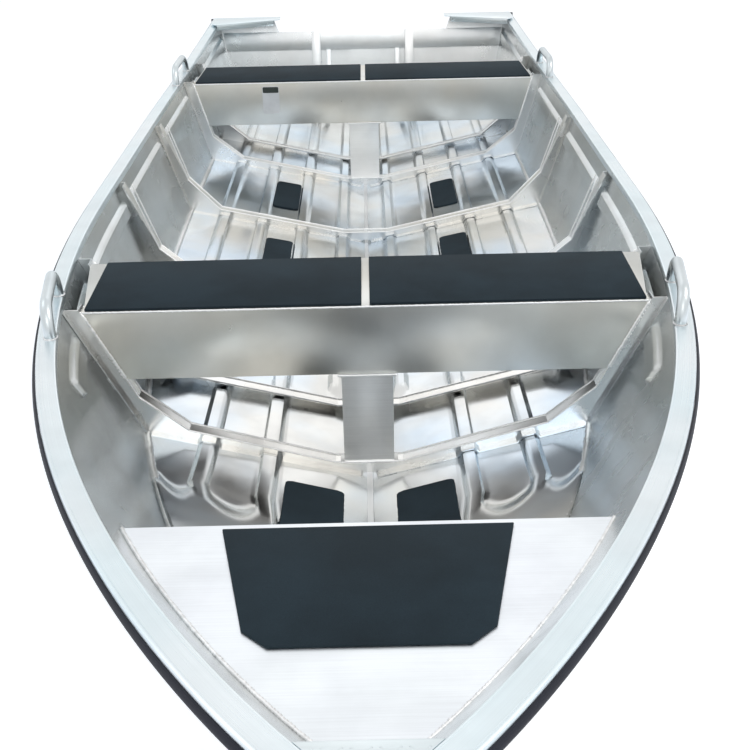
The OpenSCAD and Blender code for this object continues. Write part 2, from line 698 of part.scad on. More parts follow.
// bow eye: a drilled lug on the stem
eye_hole = 16;
eye_thick = 10;
module bow_eye() {
  low = keel_point(-bow_length);
  top = gunwale_point(-bow_length);
  p = lerp(low, top, 0.3);
  color([0.80, 0.82, 0.84])
    translate([-eye_thick / 2, p.y, p.z])
      rotate([90, 0, 90])
        rotate([0, 0, atan2(top.z - low.z, top.y - low.y)])
          translate([0, 14 + fit + 16, 0])
            difference() {
              linear_extrude(eye_thick)
                union() {
                  circle(d = 32);
                  translate([-16, -16])
                    square([32, 16]);
                }
              translate([0, 0, -1])
                cylinder(d = eye_hole, h = eye_thick + 2);
            }
}

// drain plug low in the transom
module drain_plug() {
  color([0.55, 0.56, 0.58])
    transom_frame()
      translate([40, -(gunwale_z(stern) - 45) / cos(transom_rake), -plate - 1 - fit]) {
        translate([0, 0, -8])
          cylinder(d = 34, h = 8 - fit);
      }
}

bottom_port();
bottom_starboard();
side_port();
side_starboard();
keel_bar();
transom_plate();
transom_doubler();
transom_stiffeners();
corner_plate_port();
corner_plate_starboard();
corner_cap_port();
corner_cap_starboard();
gunwale_port();
gunwale_starboard();
rub_strip_port();
rub_strip_starboard();
handle_fore_port();
handle_fore_starboard();
handle_aft_port();
handle_aft_starboard();
frame_1();
frame_2();
frame_3();
frame_4();
frame_5();
frame_6();
main_thwart();
stern_thwart();
main_pad_port();
main_pad_starboard();
stern_pad_port();
stern_pad_starboard();
main_post();
stern_post();
foredeck();
foredeck_pad();
bow_plate();
floor_pads_bow();
floor_pads_mid();
floor_pads_aft();
bow_eye();
drain_plug();
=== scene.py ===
"""Looks of an open aluminium boat: studio, camera, finishes and the trim that the solids leave out."""

import json
import logging
import math
import random
from dataclasses import dataclass, field
from enum import Enum
from typing import Callable, Sequence

import bmesh
import bpy
from mathutils import Matrix, Vector

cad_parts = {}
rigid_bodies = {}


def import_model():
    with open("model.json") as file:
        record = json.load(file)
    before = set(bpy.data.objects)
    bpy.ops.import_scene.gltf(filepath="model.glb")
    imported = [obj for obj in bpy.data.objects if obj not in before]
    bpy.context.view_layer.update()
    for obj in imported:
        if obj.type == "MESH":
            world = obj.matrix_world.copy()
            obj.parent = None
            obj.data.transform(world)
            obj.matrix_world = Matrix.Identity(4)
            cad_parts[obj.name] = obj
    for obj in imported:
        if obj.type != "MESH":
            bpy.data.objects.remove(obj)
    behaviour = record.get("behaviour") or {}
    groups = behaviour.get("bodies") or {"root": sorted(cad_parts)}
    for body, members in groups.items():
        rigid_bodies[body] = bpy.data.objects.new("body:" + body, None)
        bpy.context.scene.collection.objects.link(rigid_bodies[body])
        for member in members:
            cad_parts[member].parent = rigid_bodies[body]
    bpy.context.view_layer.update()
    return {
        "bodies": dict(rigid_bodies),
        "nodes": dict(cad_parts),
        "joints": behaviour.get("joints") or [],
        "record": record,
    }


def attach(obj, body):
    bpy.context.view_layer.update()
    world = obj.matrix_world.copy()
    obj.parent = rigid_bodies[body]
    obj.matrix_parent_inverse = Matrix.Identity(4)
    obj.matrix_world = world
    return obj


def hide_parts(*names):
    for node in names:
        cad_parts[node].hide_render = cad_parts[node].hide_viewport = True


logging.basicConfig(level=logging.INFO, format="%(name)s: %(message)s")
log = logging.getLogger("boat")

Colour = tuple[float, float, float]
Path = list[Vector]
Socket = bpy.types.NodeSocket
Material = bpy.types.Material
Piece = bpy.types.Object
BMesh = bmesh.types.BMesh


class Grain(Enum):
    """Direction in which a sheet is brushed, if it is, as repeats per metre on each axis."""

    ACROSS = (1.2, 90.0, 90.0)
    ALONG = (90.0, 1.2, 90.0)
    CALM = (0.4, 0.4, 0.4)


class Side(Enum):
    """Half of the boat, with the sign of its X."""

    PORT = 1
    STARBOARD = -1


# ---- finishes


class Nodes:
    """A new material with short hand for wiring its nodes."""

    def __init__(self, name: str) -> None:
        """Makes the material with a surface shader and an output.

        Args:
            name: the material's name.
        """
        self.material = bpy.data.materials.new(name)
        self.material.use_nodes = True
        self.tree = self.material.node_tree
        self.tree.nodes.clear()
        out = self.add("ShaderNodeOutputMaterial")
        self.shader = self.add("ShaderNodeBsdfPrincipled")
        self.link(self.shader.outputs[0], out.inputs["Surface"])

    def fix(self, **values: float | tuple[float, ...]) -> None:
        """Sets constants on the surface shader, with _ for the spaces in their names."""
        for name, value in values.items():
            self.shader.inputs[name.replace("_", " ")].default_value = value

    def drive(self, name: str, value: Socket) -> None:
        """Joins an output to an input of the surface shader."""
        self.link(value, self.shader.inputs[name])

    def add(self, kind: str, **values: object) -> bpy.types.Node:
        """Adds a node and sets its attributes.

        Args:
            kind: the node's type.
            **values: attributes to set on it.

        Returns:
            The node.
        """
        node = self.tree.nodes.new(kind)
        for name, value in values.items():
            setattr(node, name, value)
        return node

    def link(self, a: Socket, b: Socket) -> None:
        """Joins an output to an input."""
        self.tree.links.new(a, b)

    def place(self, scale: Sequence[float], source: str = "Object") -> Socket:
        """Coordinates on the piece, scaled.

        Args:
            scale: repeats per metre on each axis.
            source: Object or UV.

        Returns:
            The vector socket.
        """
        coord = self.add("ShaderNodeTexCoord")
        mapping = self.add("ShaderNodeMapping")
        mapping.inputs["Scale"].default_value = scale
        self.link(coord.outputs[source], mapping.inputs["Vector"])
        return mapping.outputs["Vector"]

    def noise(self, where: Socket, scale: float, detail: float = 4.0) -> Socket:
        """Noise value at a place.

        Args:
            where: coordinates.
            scale: size of the noise.
            detail: octaves.

        Returns:
            The value socket.
        """
        node = self.add("ShaderNodeTexNoise")
        node.inputs["Scale"].default_value = scale
        node.inputs["Detail"].default_value = detail
        self.link(where, node.inputs["Vector"])
        return node.outputs["Fac"]

    def span(
        self, value: Socket, source: tuple[float, float], target: tuple[float, float]
    ) -> Socket:
        """Maps one range of numbers onto another.

        Args:
            value: the socket to map.
            source: range of the input.
            target: range of the output.

        Returns:
            The mapped socket.
        """
        node = self.add("ShaderNodeMapRange")
        self.link(value, node.inputs["Value"])
        for name, number in zip(("From Min", "From Max", "To Min", "To Max"), (*source, *target)):
            node.inputs[name].default_value = number
        return node.outputs["Result"]

    def math(self, operation: str, a: Socket, b: Socket) -> Socket:
        """Works out two numbers into one.

        Args:
            operation: the sum to do.
            a: first number.
            b: second number.

        Returns:
            The result's socket.
        """
        node = self.add("ShaderNodeMath", operation=operation)
        self.link(a, node.inputs[0])
        self.link(b, node.inputs[1])
        return node.outputs[0]

    def tint(self, value: Socket, low: Colour, high: Colour) -> Socket:
        """Blends two colours by a value.

        Args:
            value: share of the second colour.
            low: colour at 0.
            high: colour at 1.

        Returns:
            The colour socket.
        """
        node = self.add("ShaderNodeMix", data_type="RGBA")
        self.link(value, node.inputs["Factor"])
        node.inputs[6].default_value = (*low, 1)
        node.inputs[7].default_value = (*high, 1)
        return node.outputs[2]

    def shade(self, colour: Socket, value: Socket) -> Socket:
        """Darkens a colour by a value.

        Args:
            colour: the colour.
            value: share of the colour that is left.

        Returns:
            The colour socket.
        """
        node = self.add("ShaderNodeMix", data_type="RGBA", blend_type="MULTIPLY")
        node.inputs["Factor"].default_value = 1.0
        self.link(colour, node.inputs[6])
        self.link(value, node.inputs[7])
        return node.outputs[2]

    def bump(self, height: Socket, strength: float, distance: float) -> None:
        """Drives the surface's normal by a height.

        Args:
            height: the height socket.
            strength: share of the effect.
            distance: height in metres at full value.
        """
        node = self.add("ShaderNodeBump")
        node.inputs["Strength"].default_value = strength
        node.inputs["Distance"].default_value = distance
        self.link(height, node.inputs["Height"])
        old = self.shader.inputs["Normal"].links
        if old:
            self.link(old[0].from_socket, node.inputs["Normal"])
        self.link(node.outputs["Normal"], self.shader.inputs["Normal"])


@dataclass(frozen=True)
class Finish:
    """A finish, which wires its own material."""

    name: str

    def make(self) -> Material:
        """Builds the material.

        Returns:
            The material.
        """
        n = Nodes(self.name)
        self.wire(n)
        return n.material

    def wire(self, n: Nodes) -> None:
        """Wires the material's nodes."""
        raise NotImplementedError


@dataclass(frozen=True)
class BrushedMetal(Finish):
    """Aluminium sheet with a brushed or a calm grain, faint stains, slow waves and a random blend of a warm
    and a cool tone, whose blue is partly a painted sky reflection.
    """

    warm: Colour
    # Second colour: a cool tone; where it is bluish, it is also a painted reflection of blue sky.
    cool_and_sky_tint: Colour
    grain: Grain = Grain.CALM
    roughness: float = 0.30
    waves: float = 0.0012
    wave_size: float = 2.2
    grain_depth: float = 0.0
    uv: bool = False
    contrast: float = 0.14

    def wire(self, n: Nodes) -> None:
        """Wires the material's nodes."""
        n.fix(Metallic=1.0)
        fine = n.place((120.0, 1.0, 1.0), "UV") if self.uv else n.place(self.grain.value)
        streak = n.noise(fine, 5.0, 6.0)
        here = n.place((1, 1, 1))
        cloud = n.noise(here, 2.6, 3.0)
        stain = n.noise(here, 9.0, 6.0)
        # Random patches between the two colours: tone that varies at random, plus a painted sky-blue
        # reflection where the second colour is bluish.
        tone_and_sky_tint = n.tint(n.span(cloud, (0.5 - self.contrast, 0.5 + self.contrast), (0, 1)), self.warm, self.cool_and_sky_tint)
        rubbed = n.span(streak, (0.3, 0.7), (0.93, 1.0))
        worn = n.math("MULTIPLY", rubbed, n.span(stain, (0.35, 0.6), (0.93, 1.0)))
        n.drive("Base Color", n.shade(tone_and_sky_tint, worn))
        rough = n.math(
            "ADD",
            n.span(streak, (0.3, 0.7), (-0.03, 0.05)),
            n.span(stain, (0.3, 0.7), (self.roughness + 0.06, self.roughness - 0.05)),
        )
        n.drive("Roughness", rough)
        n.bump(n.noise(here, self.wave_size, 2.0), 0.7, self.waves)
        n.bump(streak, 0.5, self.grain_depth)


@dataclass(frozen=True)
class Foam(Finish):
    """Matt closed-cell foam with a fine grain and paler rubbed patches."""

    colour: Colour
    roughness: float = 0.9
    grain: float = 0.0005

    def wire(self, n: Nodes) -> None:
        """Wires the material's nodes."""
        n.fix(Roughness=self.roughness, Specular_IOR_Level=0.3)
        here = n.place((1, 1, 1))
        fine = n.noise(here, 1100.0, 2.0)
        patch = n.noise(here, 7.0, 5.0)
        low = tuple(c * 0.82 for c in self.colour)
        high = tuple(c * 1.22 for c in self.colour)
        base = n.tint(n.span(patch, (0.35, 0.65), (0, 1)), low, high)
        n.drive("Base Color", n.shade(base, n.span(fine, (0.3, 0.7), (0.7, 1.15))))
        n.bump(fine, 0.5, self.grain)


@dataclass(frozen=True)
class WeldMetal(Finish):
    """Rippled weld: pale frosty metal with soot beside it."""

    colour: Colour = (0.86, 0.87, 0.88)

    def wire(self, n: Nodes) -> None:
        """Wires the material's nodes."""
        n.fix(Metallic=1.0)
        here = n.place((1, 1, 1))
        spot = n.noise(here, 160.0, 4.0)
        soot = n.noise(here, 22.0, 4.0)
        base = n.tint(n.span(soot, (0.4, 0.62), (0, 1)), tuple(c * 0.68 for c in self.colour), self.colour)
        n.drive("Base Color", n.shade(base, n.span(spot, (0.3, 0.7), (0.75, 1.0))))
        n.drive("Roughness", n.span(spot, (0.3, 0.7), (0.30, 0.55)))
        n.bump(spot, 0.5, 0.0008)


@dataclass(frozen=True)
class Moulded(Finish):
    """Moulded plastic or paint with a faint orange peel and dust."""

    colour: Colour
    roughness: float = 0.5

    def wire(self, n: Nodes) -> None:
        """Wires the material's nodes."""
        here = n.place((1, 1, 1))
        peel = n.noise(here, 420.0, 2.0)
        dust = n.noise(here, 14.0, 5.0)
        dusty = tuple(min(1, c * 1.25 + 0.01) for c in self.colour)
        n.drive("Base Color", n.tint(n.span(dust, (0.4, 0.75), (0, 1)), self.colour, dusty))
        n.drive("Roughness", n.span(dust, (0.3, 0.7), (self.roughness - 0.08, self.roughness + 0.1)))
        n.bump(peel, 0.25, 0.0003)


# ---- mesh making


def smoothstep(value: float) -> float:
    """A number eased from 0 to 1, and held outside."""
    t = min(max(value, 0.0), 1.0)
    return t * t * (3 - 2 * t)


def lerp(a: float, b: float, t: float) -> float:
    """Number between two others."""
    return a + (b - a) * t


def both_sides(paths: Sequence[Path]) -> list[Path]:
    """The port lines' starboard twins, and then the lines.

    Args:
        paths: lines on the port side.

    Returns:
        Twice as many lines.
    """
    return [[Vector((sign * p.x, p.y, p.z)) for p in path] for sign in (-1, 1) for path in paths]


def add_object(name: str, data: bpy.types.ID) -> Piece:
    """Puts an object with the data into the scene."""
    made = bpy.data.objects.new(name, data)
    bpy.context.scene.collection.objects.link(made)
    return made


@dataclass(frozen=True)
class Dress:
    """A piece's name, its finish and its slot in the record."""

    name: str
    material: Material
    slot: str


def add_piece(data: bpy.types.ID, dress: Dress) -> Piece:
    """Puts a dressed piece into the scene that rides on the boat.

    Args:
        data: its mesh or curve.
        dress: its name, finish and slot.

    Returns:
        The piece.
    """
    data.materials.append(dress.material)
    piece = add_object(dress.name, data)
    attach(piece, "root")
    return piece


def finish_piece(bm: BMesh, dress: Dress) -> Piece:
    """Turns a bmesh into a smooth-shaded piece with sharp creases.

    Args:
        bm: the mesh, freed here.
        dress: the piece's name, finish and slot.

    Returns:
        The piece.
    """
    for face in bm.faces:
        face.smooth = True
    for edge in bm.edges:
        if len(edge.link_faces) == 2 and edge.calc_face_angle(0) > math.radians(38):
            edge.smooth = False
    mesh = bpy.data.meshes.new(dress.name)
    bm.to_mesh(mesh)
    bm.free()
    return add_piece(mesh, dress)


def spread_grid(columns: int, rows: int, place: Callable[[int, int], Vector]) -> BMesh:
    """Makes a grid and puts each of its points in place.

    Args:
        columns: points across.
        rows: points along.
        place: gives the place of a column and row.

    Returns:
        The mesh, with UVs across and along.
    """
    bm = bmesh.new()
    bm.loops.layers.uv.new("UVMap")
    bmesh.ops.create_grid(bm, x_segments=columns - 1, y_segments=rows - 1, size=1.0, calc_uvs=True)
    for vert in bm.verts:
        i = round((vert.co.x + 1) / 2 * (columns - 1))
        j = round((vert.co.y + 1) / 2 * (rows - 1))
        vert.co = place(i, j)
    return bm


def sheet_piece(
    dress: Dress, columns: int, rows: int, place: Callable[[int, int], Vector], thickness: float
) -> Piece:
    """Makes a sheet of even thickness from a grid.

    Args:
        dress: the piece's name, finish and slot.
        columns: points across.
        rows: points along.
        place: gives the place of a column and row on the visible face.
        thickness: plate thickness, away from the visible face.

    Returns:
        The piece.
    """
    bm = spread_grid(columns, rows, place)
    bmesh.ops.recalc_face_normals(bm, faces=bm.faces)
    bm.normal_update()
    bmesh.ops.solidify(bm, geom=bm.faces[:], thickness=thickness)
    bmesh.ops.recalc_face_normals(bm, faces=bm.faces)
    return finish_piece(bm, dress)


def band_piece(dress: Dress, sections: Sequence[Path]) -> Piece:
    """Makes a closed band through a row of closed sections.

    Args:
        dress: the piece's name, finish and slot.
        sections: sections with equal numbers of points.

    Returns:
        The piece.
    """
    count = len(sections[0])
    bm = spread_grid(count + 1, len(sections), lambda i, j: sections[j][i % count])
    bmesh.ops.remove_doubles(bm, verts=bm.verts, dist=1e-6)
    ends = [edge for edge in bm.edges if edge.is_boundary]
    bmesh.ops.holes_fill(bm, edges=ends, sides=count)
    bmesh.ops.recalc_face_normals(bm, faces=bm.faces)
    return finish_piece(bm, dress)


def bevel(bm: BMesh, edges: Sequence[bmesh.types.BMEdge], width: float, segments: int) -> None:
    """Rounds edges.

    Args:
        bm: the mesh.
        edges: the edges to round.
        width: width of the rounding.
        segments: faces across it.
    """
    bmesh.ops.bevel(
        bm, geom=edges, offset=width, offset_type="OFFSET", segments=segments, profile=0.5, affect="EDGES",
        material=-1, clamp_overlap=True,
    )


def rounded_copy(node: Piece, dress: Dress, width: float) -> Piece:
    """Rounds the edges of a solid's shape.

    Args:
        node: the solid.
        dress: the piece's name, finish and slot.
        width: width of the rounding.

    Returns:
        The piece, which stands for the solid.
    """
    bm = bmesh.new()
    bm.from_mesh(node.data)
    bmesh.ops.remove_doubles(bm, verts=bm.verts, dist=1e-5)
    bmesh.ops.dissolve_limit(bm, angle_limit=math.radians(1.5), verts=bm.verts, edges=bm.edges)
    sharp = [e for e in bm.edges if len(e.link_faces) == 2 and e.calc_face_angle(0) > math.radians(28)]
    bevel(bm, sharp, width, 2)
    bmesh.ops.recalc_face_normals(bm, faces=bm.faces)
    return finish_piece(bm, dress)


def bead_piece(dress: Dress, paths: Sequence[Path], radius: float, ripple: float = 0.22) -> Piece:
    """Lays rippled weld beads along paths.

    Args:
        dress: the piece's name, finish and slot.
        paths: one list of points a bead.
        radius: the bead's radius.
        ripple: share by which the radius comes and goes.

    Returns:
        The piece.
    """
    chance = random.Random(len(dress.name) * 31 + len(paths))
    curve = bpy.data.curves.new(dress.name, "CURVE")
    curve.dimensions = "3D"
    curve.bevel_depth = radius
    curve.bevel_resolution = 1
    curve.use_fill_caps = True
    for path in paths:
        fine: Path = []
        for a, b in zip(path, path[1:]):
            steps = max(1, round((b - a).length / (radius * 1.1)))
            fine.extend(a.lerp(b, k / steps) for k in range(steps))
        fine.append(path[-1])
        spline = curve.splines.new("POLY")
        spline.points.add(len(fine) - 1)
        for k, point in enumerate(fine):
            stray = Vector([chance.uniform(-1, 1) for _ in range(3)]) * radius * 0.12
            spline.points[k].co = (*(point + stray), 1)
            wide = 1 + ripple * (1 if k % 2 else -1) + chance.uniform(-0.12, 0.12)
            spline.points[k].radius = wide * (0.6 if k in (0, len(fine) - 1) else 1)
    return add_piece(curve, dress)


def slots_of(frame: dict) -> dict[str, str]:
    """Slot of each solid in what the frame loader returned, by the solid's name."""
    return {part["node"]: part["material_slot"] for part in frame["record"]["subparts"]}


# ---- the boat's lines


@dataclass
class HullLines:
    """Lines of the hull, in metres, by station: metres aft of the first frame."""

    bow: float = 1.515
    waist: float = 2.55
    stern_run: float = 0.785
    half_beam: float = 0.724
    chine_half: float = 0.62
    side_height: float = 0.457
    sheer_rise: float = 0.13
    stern_rise: float = 0.042
    stern_narrow: float = 0.036
    taper_start: float = 0.75
    chine_height: float = 0.13
    stem_chine_height: float = 0.33
    stem_rake: float = 0.3
    rake: float = math.radians(10)
    draught: float = 0.09
    plate: float = 0.003
    thwart_width: float = 0.295
    thwart_top: float = 0.438
    thwart_depth: float = 0.166
    member_depth: float = 0.035
    middle_half: float = 0.079
    keel_half: float = 0.0068
    ribs: tuple[tuple[float, float], ...] = ((0.085, 0.345), (0.230, -0.42), (0.370, -0.40), (0.5, 0.23))

    def __post_init__(self) -> None:
        """Works out the stations that follow from the sizes."""
        self.first = -(self.bow + self.waist + self.stern_run) / 2 + self.bow
        self.stern = self.waist + self.stern_run
        self.aft = 0.63 * self.waist
        pair = self.thwart_width + 0.02
        rear = self.waist - pair
        self.stations = (
            0.0, pair, pair + 0.323 * (rear - pair), pair + 0.659 * (rear - pair), rear, self.waist,
        )
        self.webs = (-1, 1, 1, -1, -1, 1)
        self.knees = (
            (0.414, 0.226), (0.440, 0.235), (0.480, 0.248), (0.514, 0.250), (0.496, 0.228), (0.496, 0.228),
        )

    def along(self, q: float, z: float) -> float:
        """Place along the boat of a station at a height over the keel.

        Args:
            q: station.
            z: height over the keel.

        Returns:
            The Y coordinate.
        """
        if q < 0:
            full = self.side_height + self.sheer_rise - self.stem_chine_height
            rise = max(z - self.stem_chine_height, 0) / full
            return self.first + q * lerp(self.bow - self.stem_rake, self.bow, rise) / self.bow
        if q <= self.waist:
            return self.first + q
        top = self.side_height + self.stern_rise
        run = (self.stern_run - (top - z) * math.tan(self.rake)) / self.stern_run
        return self.first + self.waist + (q - self.waist) * run

    def gunwale(self, q: float) -> Vector:
        """Point on the side's top edge.

        Args:
            q: station.

        Returns:
            The point, port side.
        """
        t = min(max(self.taper_start - q, 0) / (self.taper_start + self.bow), 1)
        back = max(q - self.aft, 0) / (self.stern - self.aft)
        x = (self.half_beam - 0.012) * (1 - t**2.3) ** 0.9 + 0.012 - self.stern_narrow * back**1.4
        sheer = self.sheer_rise * (min(q - 0.2, 0) / (0.2 + self.bow)) ** 2
        z = self.side_height + sheer + self.stern_rise * back**2
        return Vector((x, self.first + q if q < 0 else self.along(q, z), z - self.draught))

    def chine(self, q: float) -> Vector:
        """Point on the chine.

        Args:
            q: station.

        Returns:
            The point, port side.
        """
        t = min(max(self.aft - q, 0) / (self.aft + self.bow), 1)
        x = (self.chine_half - 0.012) * (1 - t**2.6) + 0.012
        z = self.chine_height + (self.stem_chine_height - self.chine_height) * (max(-q, 0) / self.bow) ** 1.9
        y = self.first + q * (self.bow - self.stem_rake) / self.bow if q < 0 else self.along(q, z)
        return Vector((x, y, z - self.draught))

    def keel(self, q: float) -> Vector:
        """Point on the bottom plate beside the keel bar.

        Args:
            q: station.

        Returns:
            The point, port side.
        """
        z = self.stem_chine_height * (max(-q, 0) / self.bow) ** 3.2
        y = self.first + q * (self.bow - self.stem_rake) / self.bow if q < 0 else self.along(q, z)
        return Vector((self.keel_half, y, z - self.draught))

    def outward(self, q: float) -> Vector:
        """Level direction square to the gunwale.

        Args:
            q: station.

        Returns:
            The direction, port side.
        """
        a = self.gunwale(min(q + 0.006, self.stern))
        b = self.gunwale(max(q - 0.006, -self.bow))
        return Vector((a.y - b.y, b.x - a.x, 0)).normalized()

    def bottom_up(self, q: float) -> float:
        """Plate thickness measured straight up through the bottom."""
        k, c = self.keel(q), self.chine(q)
        return self.plate * math.hypot(1, (c.z - k.z) / (c.x - k.x))

    def side_in(self, q: float) -> float:
        """Plate thickness measured straight in through the side."""
        a, b = self.gunwale(q - 0.005), self.gunwale(q + 0.005)
        g, c = self.gunwale(q), self.chine(q)
        return self.plate * math.sqrt(1 + ((b.x - a.x) / (b.y - a.y)) ** 2 + ((g.x - c.x) / (g.z - c.z)) ** 2)

    def side_foot(self, q: float) -> Vector:
        """Lower edge of the side, on the bottom's edge."""
        g, c = self.gunwale(q), self.chine(q)
        return c.lerp(g, (self.bottom_up(q) + 0.0007 + 0.0004 * max(-q, 0) / self.bow) / (g.z - c.z))

    def bottom_z(self, q: float, x: float) -> float:
        """Height of the bottom's underside at a distance from the keel."""
        k, c = self.keel(q), self.chine(q)
        return lerp(k.z, c.z, (x - k.x) / (c.x - k.x))

    def side_x(self, q: float, z: float) -> float:
        """Inner face of the side at a height over the waterline."""
        g, c = self.gunwale(q), self.side_foot(q)
        return lerp(c.x, g.x, (z - c.z) / (g.z - c.z)) - self.side_in(q)


# ---- the boat's pieces


@dataclass
class PressedBottom:
    """Two bottom plates with pressed ribs, whose pans end in scallops in the bow."""

    lines: HullLines
    rib_height: float = 0.012
    rib_half: float = 0.023
    rib_top_half: float = 0.0115
    pan_step: float = 0.0118
    pan_end: float = -0.250
    pan_ahead: float = 0.03
    pan_slope: float = 0.10
    scallop: float = 0.10
    outer_scallop: float = 0.06
    outer_end: float = 0.53
    rib_slope: float = 0.07
    straight_from: float = 0.26
    columns: int = 84
    rows: int = 400

    def rise(self, q: float, x: float) -> float:
        """Height of the pressing over the plain V.

        Args:
            q: station.
            x: distance from the keel at full width.

        Returns:
            The height.
        """
        ends = smoothstep((self.lines.stern - 0.06 - q) / 0.025)
        side_slope = self.rib_half - self.rib_top_half
        height = 0.0
        for centre, start in self.lines.ribs:
            share = smoothstep((self.rib_half - abs(x - centre)) / side_slope)
            share *= smoothstep((q - start) / self.rib_slope)
            height = max(height, self.rib_height * share * ends)
        second, third = self.lines.ribs[1][0], self.lines.ribs[2][0]
        bulge = 0.0
        if second <= x <= third:
            bulge = self.scallop * max(1 - ((2 * x - second - third) / (third - second)) ** 2, 0)
        elif x > third:
            across = (2 * x - third - self.outer_end) / (self.outer_end - third)
            bulge = self.outer_scallop * max(1 - across**2, 0)
        step = self.pan_step * smoothstep((self.pan_end + self.pan_ahead - bulge - q) / self.pan_slope)
        step *= smoothstep((x - second + self.rib_half) / side_slope)
        edge = self.lines.chine_half - x
        return max(height, step * min(max((edge - 0.02) / 0.05, 0), 1))

    def widths(self, q: float) -> tuple[float, float, float, float]:
        """Widths that place the columns.

        Args:
            q: station.

        Returns:
            Outer edge of the third rib; the chine where the inner ribs end, at full width and at the station.
        """
        lines = self.lines
        inner = lines.ribs[2][0] + self.rib_half
        return inner, lines.chine(max(q, self.pan_end)).x, lines.chine(self.straight_from).x, lines.chine(q).x

    def column(self, q: float, ref: float) -> float:
        """Distance from the keel of a column: the inner ribs run straight as far as their ends.

        Args:
            q: station.
            ref: the column's distance at full width.

        Returns:
            The distance at the station.
        """
        inner, chine, full, ends = self.widths(q)
        x = ref
        if ref > inner and q < self.straight_from:
            x = inner + (ref - inner) * (chine - inner) / (full - inner)
        if q < self.pan_end:
            keel = self.lines.keel_half
            x = keel + (x - keel) * (ends - keel) / (chine - keel)
        return x

    def straight(self, q: float, x: float) -> float:
        """Distance at full width of the column through a point.

        Args:
            q: station.
            x: distance from the keel.

        Returns:
            The column's distance at full width.
        """
        inner, chine, full, ends = self.widths(q)
        if q < self.pan_end:
            keel = self.lines.keel_half
            x = keel + (x - keel) * (chine - keel) / (ends - keel)
        if x <= inner or q >= self.straight_from:
            return x
        return inner + (x - inner) * (full - inner) / (chine - inner)

    def point(self, q: float, x: float) -> Vector:
        """Point on the inner face.

        Args:
            q: station.
            x: distance from the keel.

        Returns:
            The point.
        """
        lines = self.lines
        k, c = lines.keel(q), lines.chine(q)
        ref = self.straight(q, x)
        z = lerp(k.z, c.z, (x - k.x) / (c.x - k.x))
        y = k.y if q < 0 else lines.along(q, z + lines.draught)
        return Vector((x, y, z + lines.bottom_up(q) + self.rise(q, ref)))

    def build(self, finish: Material) -> None:
        """Builds both plates.

        Args:
            finish: the plates' finish.
        """
        lines = self.lines
        for side in Side:
            name = side.name.lower()

            def place(i: int, j: int, sign: int = side.value) -> Vector:
                """Puts a grid point on the plate."""
                q = lerp(-lines.bow, lines.stern, j / (self.rows - 1))
                wide = lines.chine(max(q, self.straight_from)).x
                p = self.point(q, self.column(q, lerp(lines.keel_half, wide, i / (self.columns - 1))))
                return Vector((sign * p.x, p.y, p.z))

            dress = Dress(f"pressed_bottom_{name}", finish, "bottom_plate")
            piece = sheet_piece(dress, self.columns, self.rows, place, -0.0028)
            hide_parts(f"bottom_{name}")
            log.info("built %s", piece.name)


@dataclass
class FloorPads:
    """Soft pads laid on the bottom plates, three to a side."""

    lines: HullLines
    bottom: PressedBottom
    thickness: float = 0.004
    corner: float = 0.016
    clear: float = 0.025
    columns: int = 41
    rows: int = 61

    def bays(self) -> dict[str, tuple[float, float, float, float]]:
        """Place of each pad.

        Returns:
            First and last station, and nearest and furthest distance from the keel, by name.
        """
        lines = self.lines
        first, second, third = (rib[0] for rib in lines.ribs[:3])
        s = lines.stations
        mid, aft = s[3] - s[2], s[4] - s[3]
        return {
            "bow": (-0.256 * lines.bow, -0.085 * lines.bow, first - self.clear, second - self.clear - 0.015),
            "mid": (s[3] - 0.65 * mid, s[3] - 0.2 * mid, second + self.clear, third - self.clear),
            "aft": (s[4] - 0.68 * aft, s[4] - 0.22 * aft, second + self.clear, third - self.clear),
        }

    def build(self, finish: Material) -> None:
        """Builds the pads.

        Args:
            finish: the foam.
        """
        lines = self.lines
        chance = random.Random(5)
        for name, (q0, q1, x0, x1) in self.bays().items():
            for side in Side:
                fray = [chance.uniform(-0.0006, 0.0006) for _ in range(400)]

                def place(i: int, j: int, sign: int = side.value) -> Vector:
                    """Puts a grid point on the pad's top."""
                    last, end = self.columns - 1, self.rows - 1
                    q = lerp(q0, q1, j / end)
                    near = max(min(q - q0, q1 - q), 0.0)
                    inset = 0.0
                    if near < self.corner:
                        inset = self.corner - math.sqrt(self.corner**2 - (self.corner - near) ** 2)
                    x = lerp(x0 + inset, x1 - inset, i / last) + (fray[j] if i in (0, last) else 0)
                    p = self.bottom.point(q, x)
                    up = self.thickness + 0.0005 - (0.0007 if i in (0, last) or j in (0, end) else 0)
                    return Vector((sign * p.x, p.y, p.z + up))

                dress = Dress(f"floor_pad_{name}_{side.name.lower()}", finish, "soft_pad")
                piece = sheet_piece(dress, self.columns, self.rows, place, -self.thickness)
                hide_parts(f"floor_pads_{name}")
                log.info("built %s", piece.name)


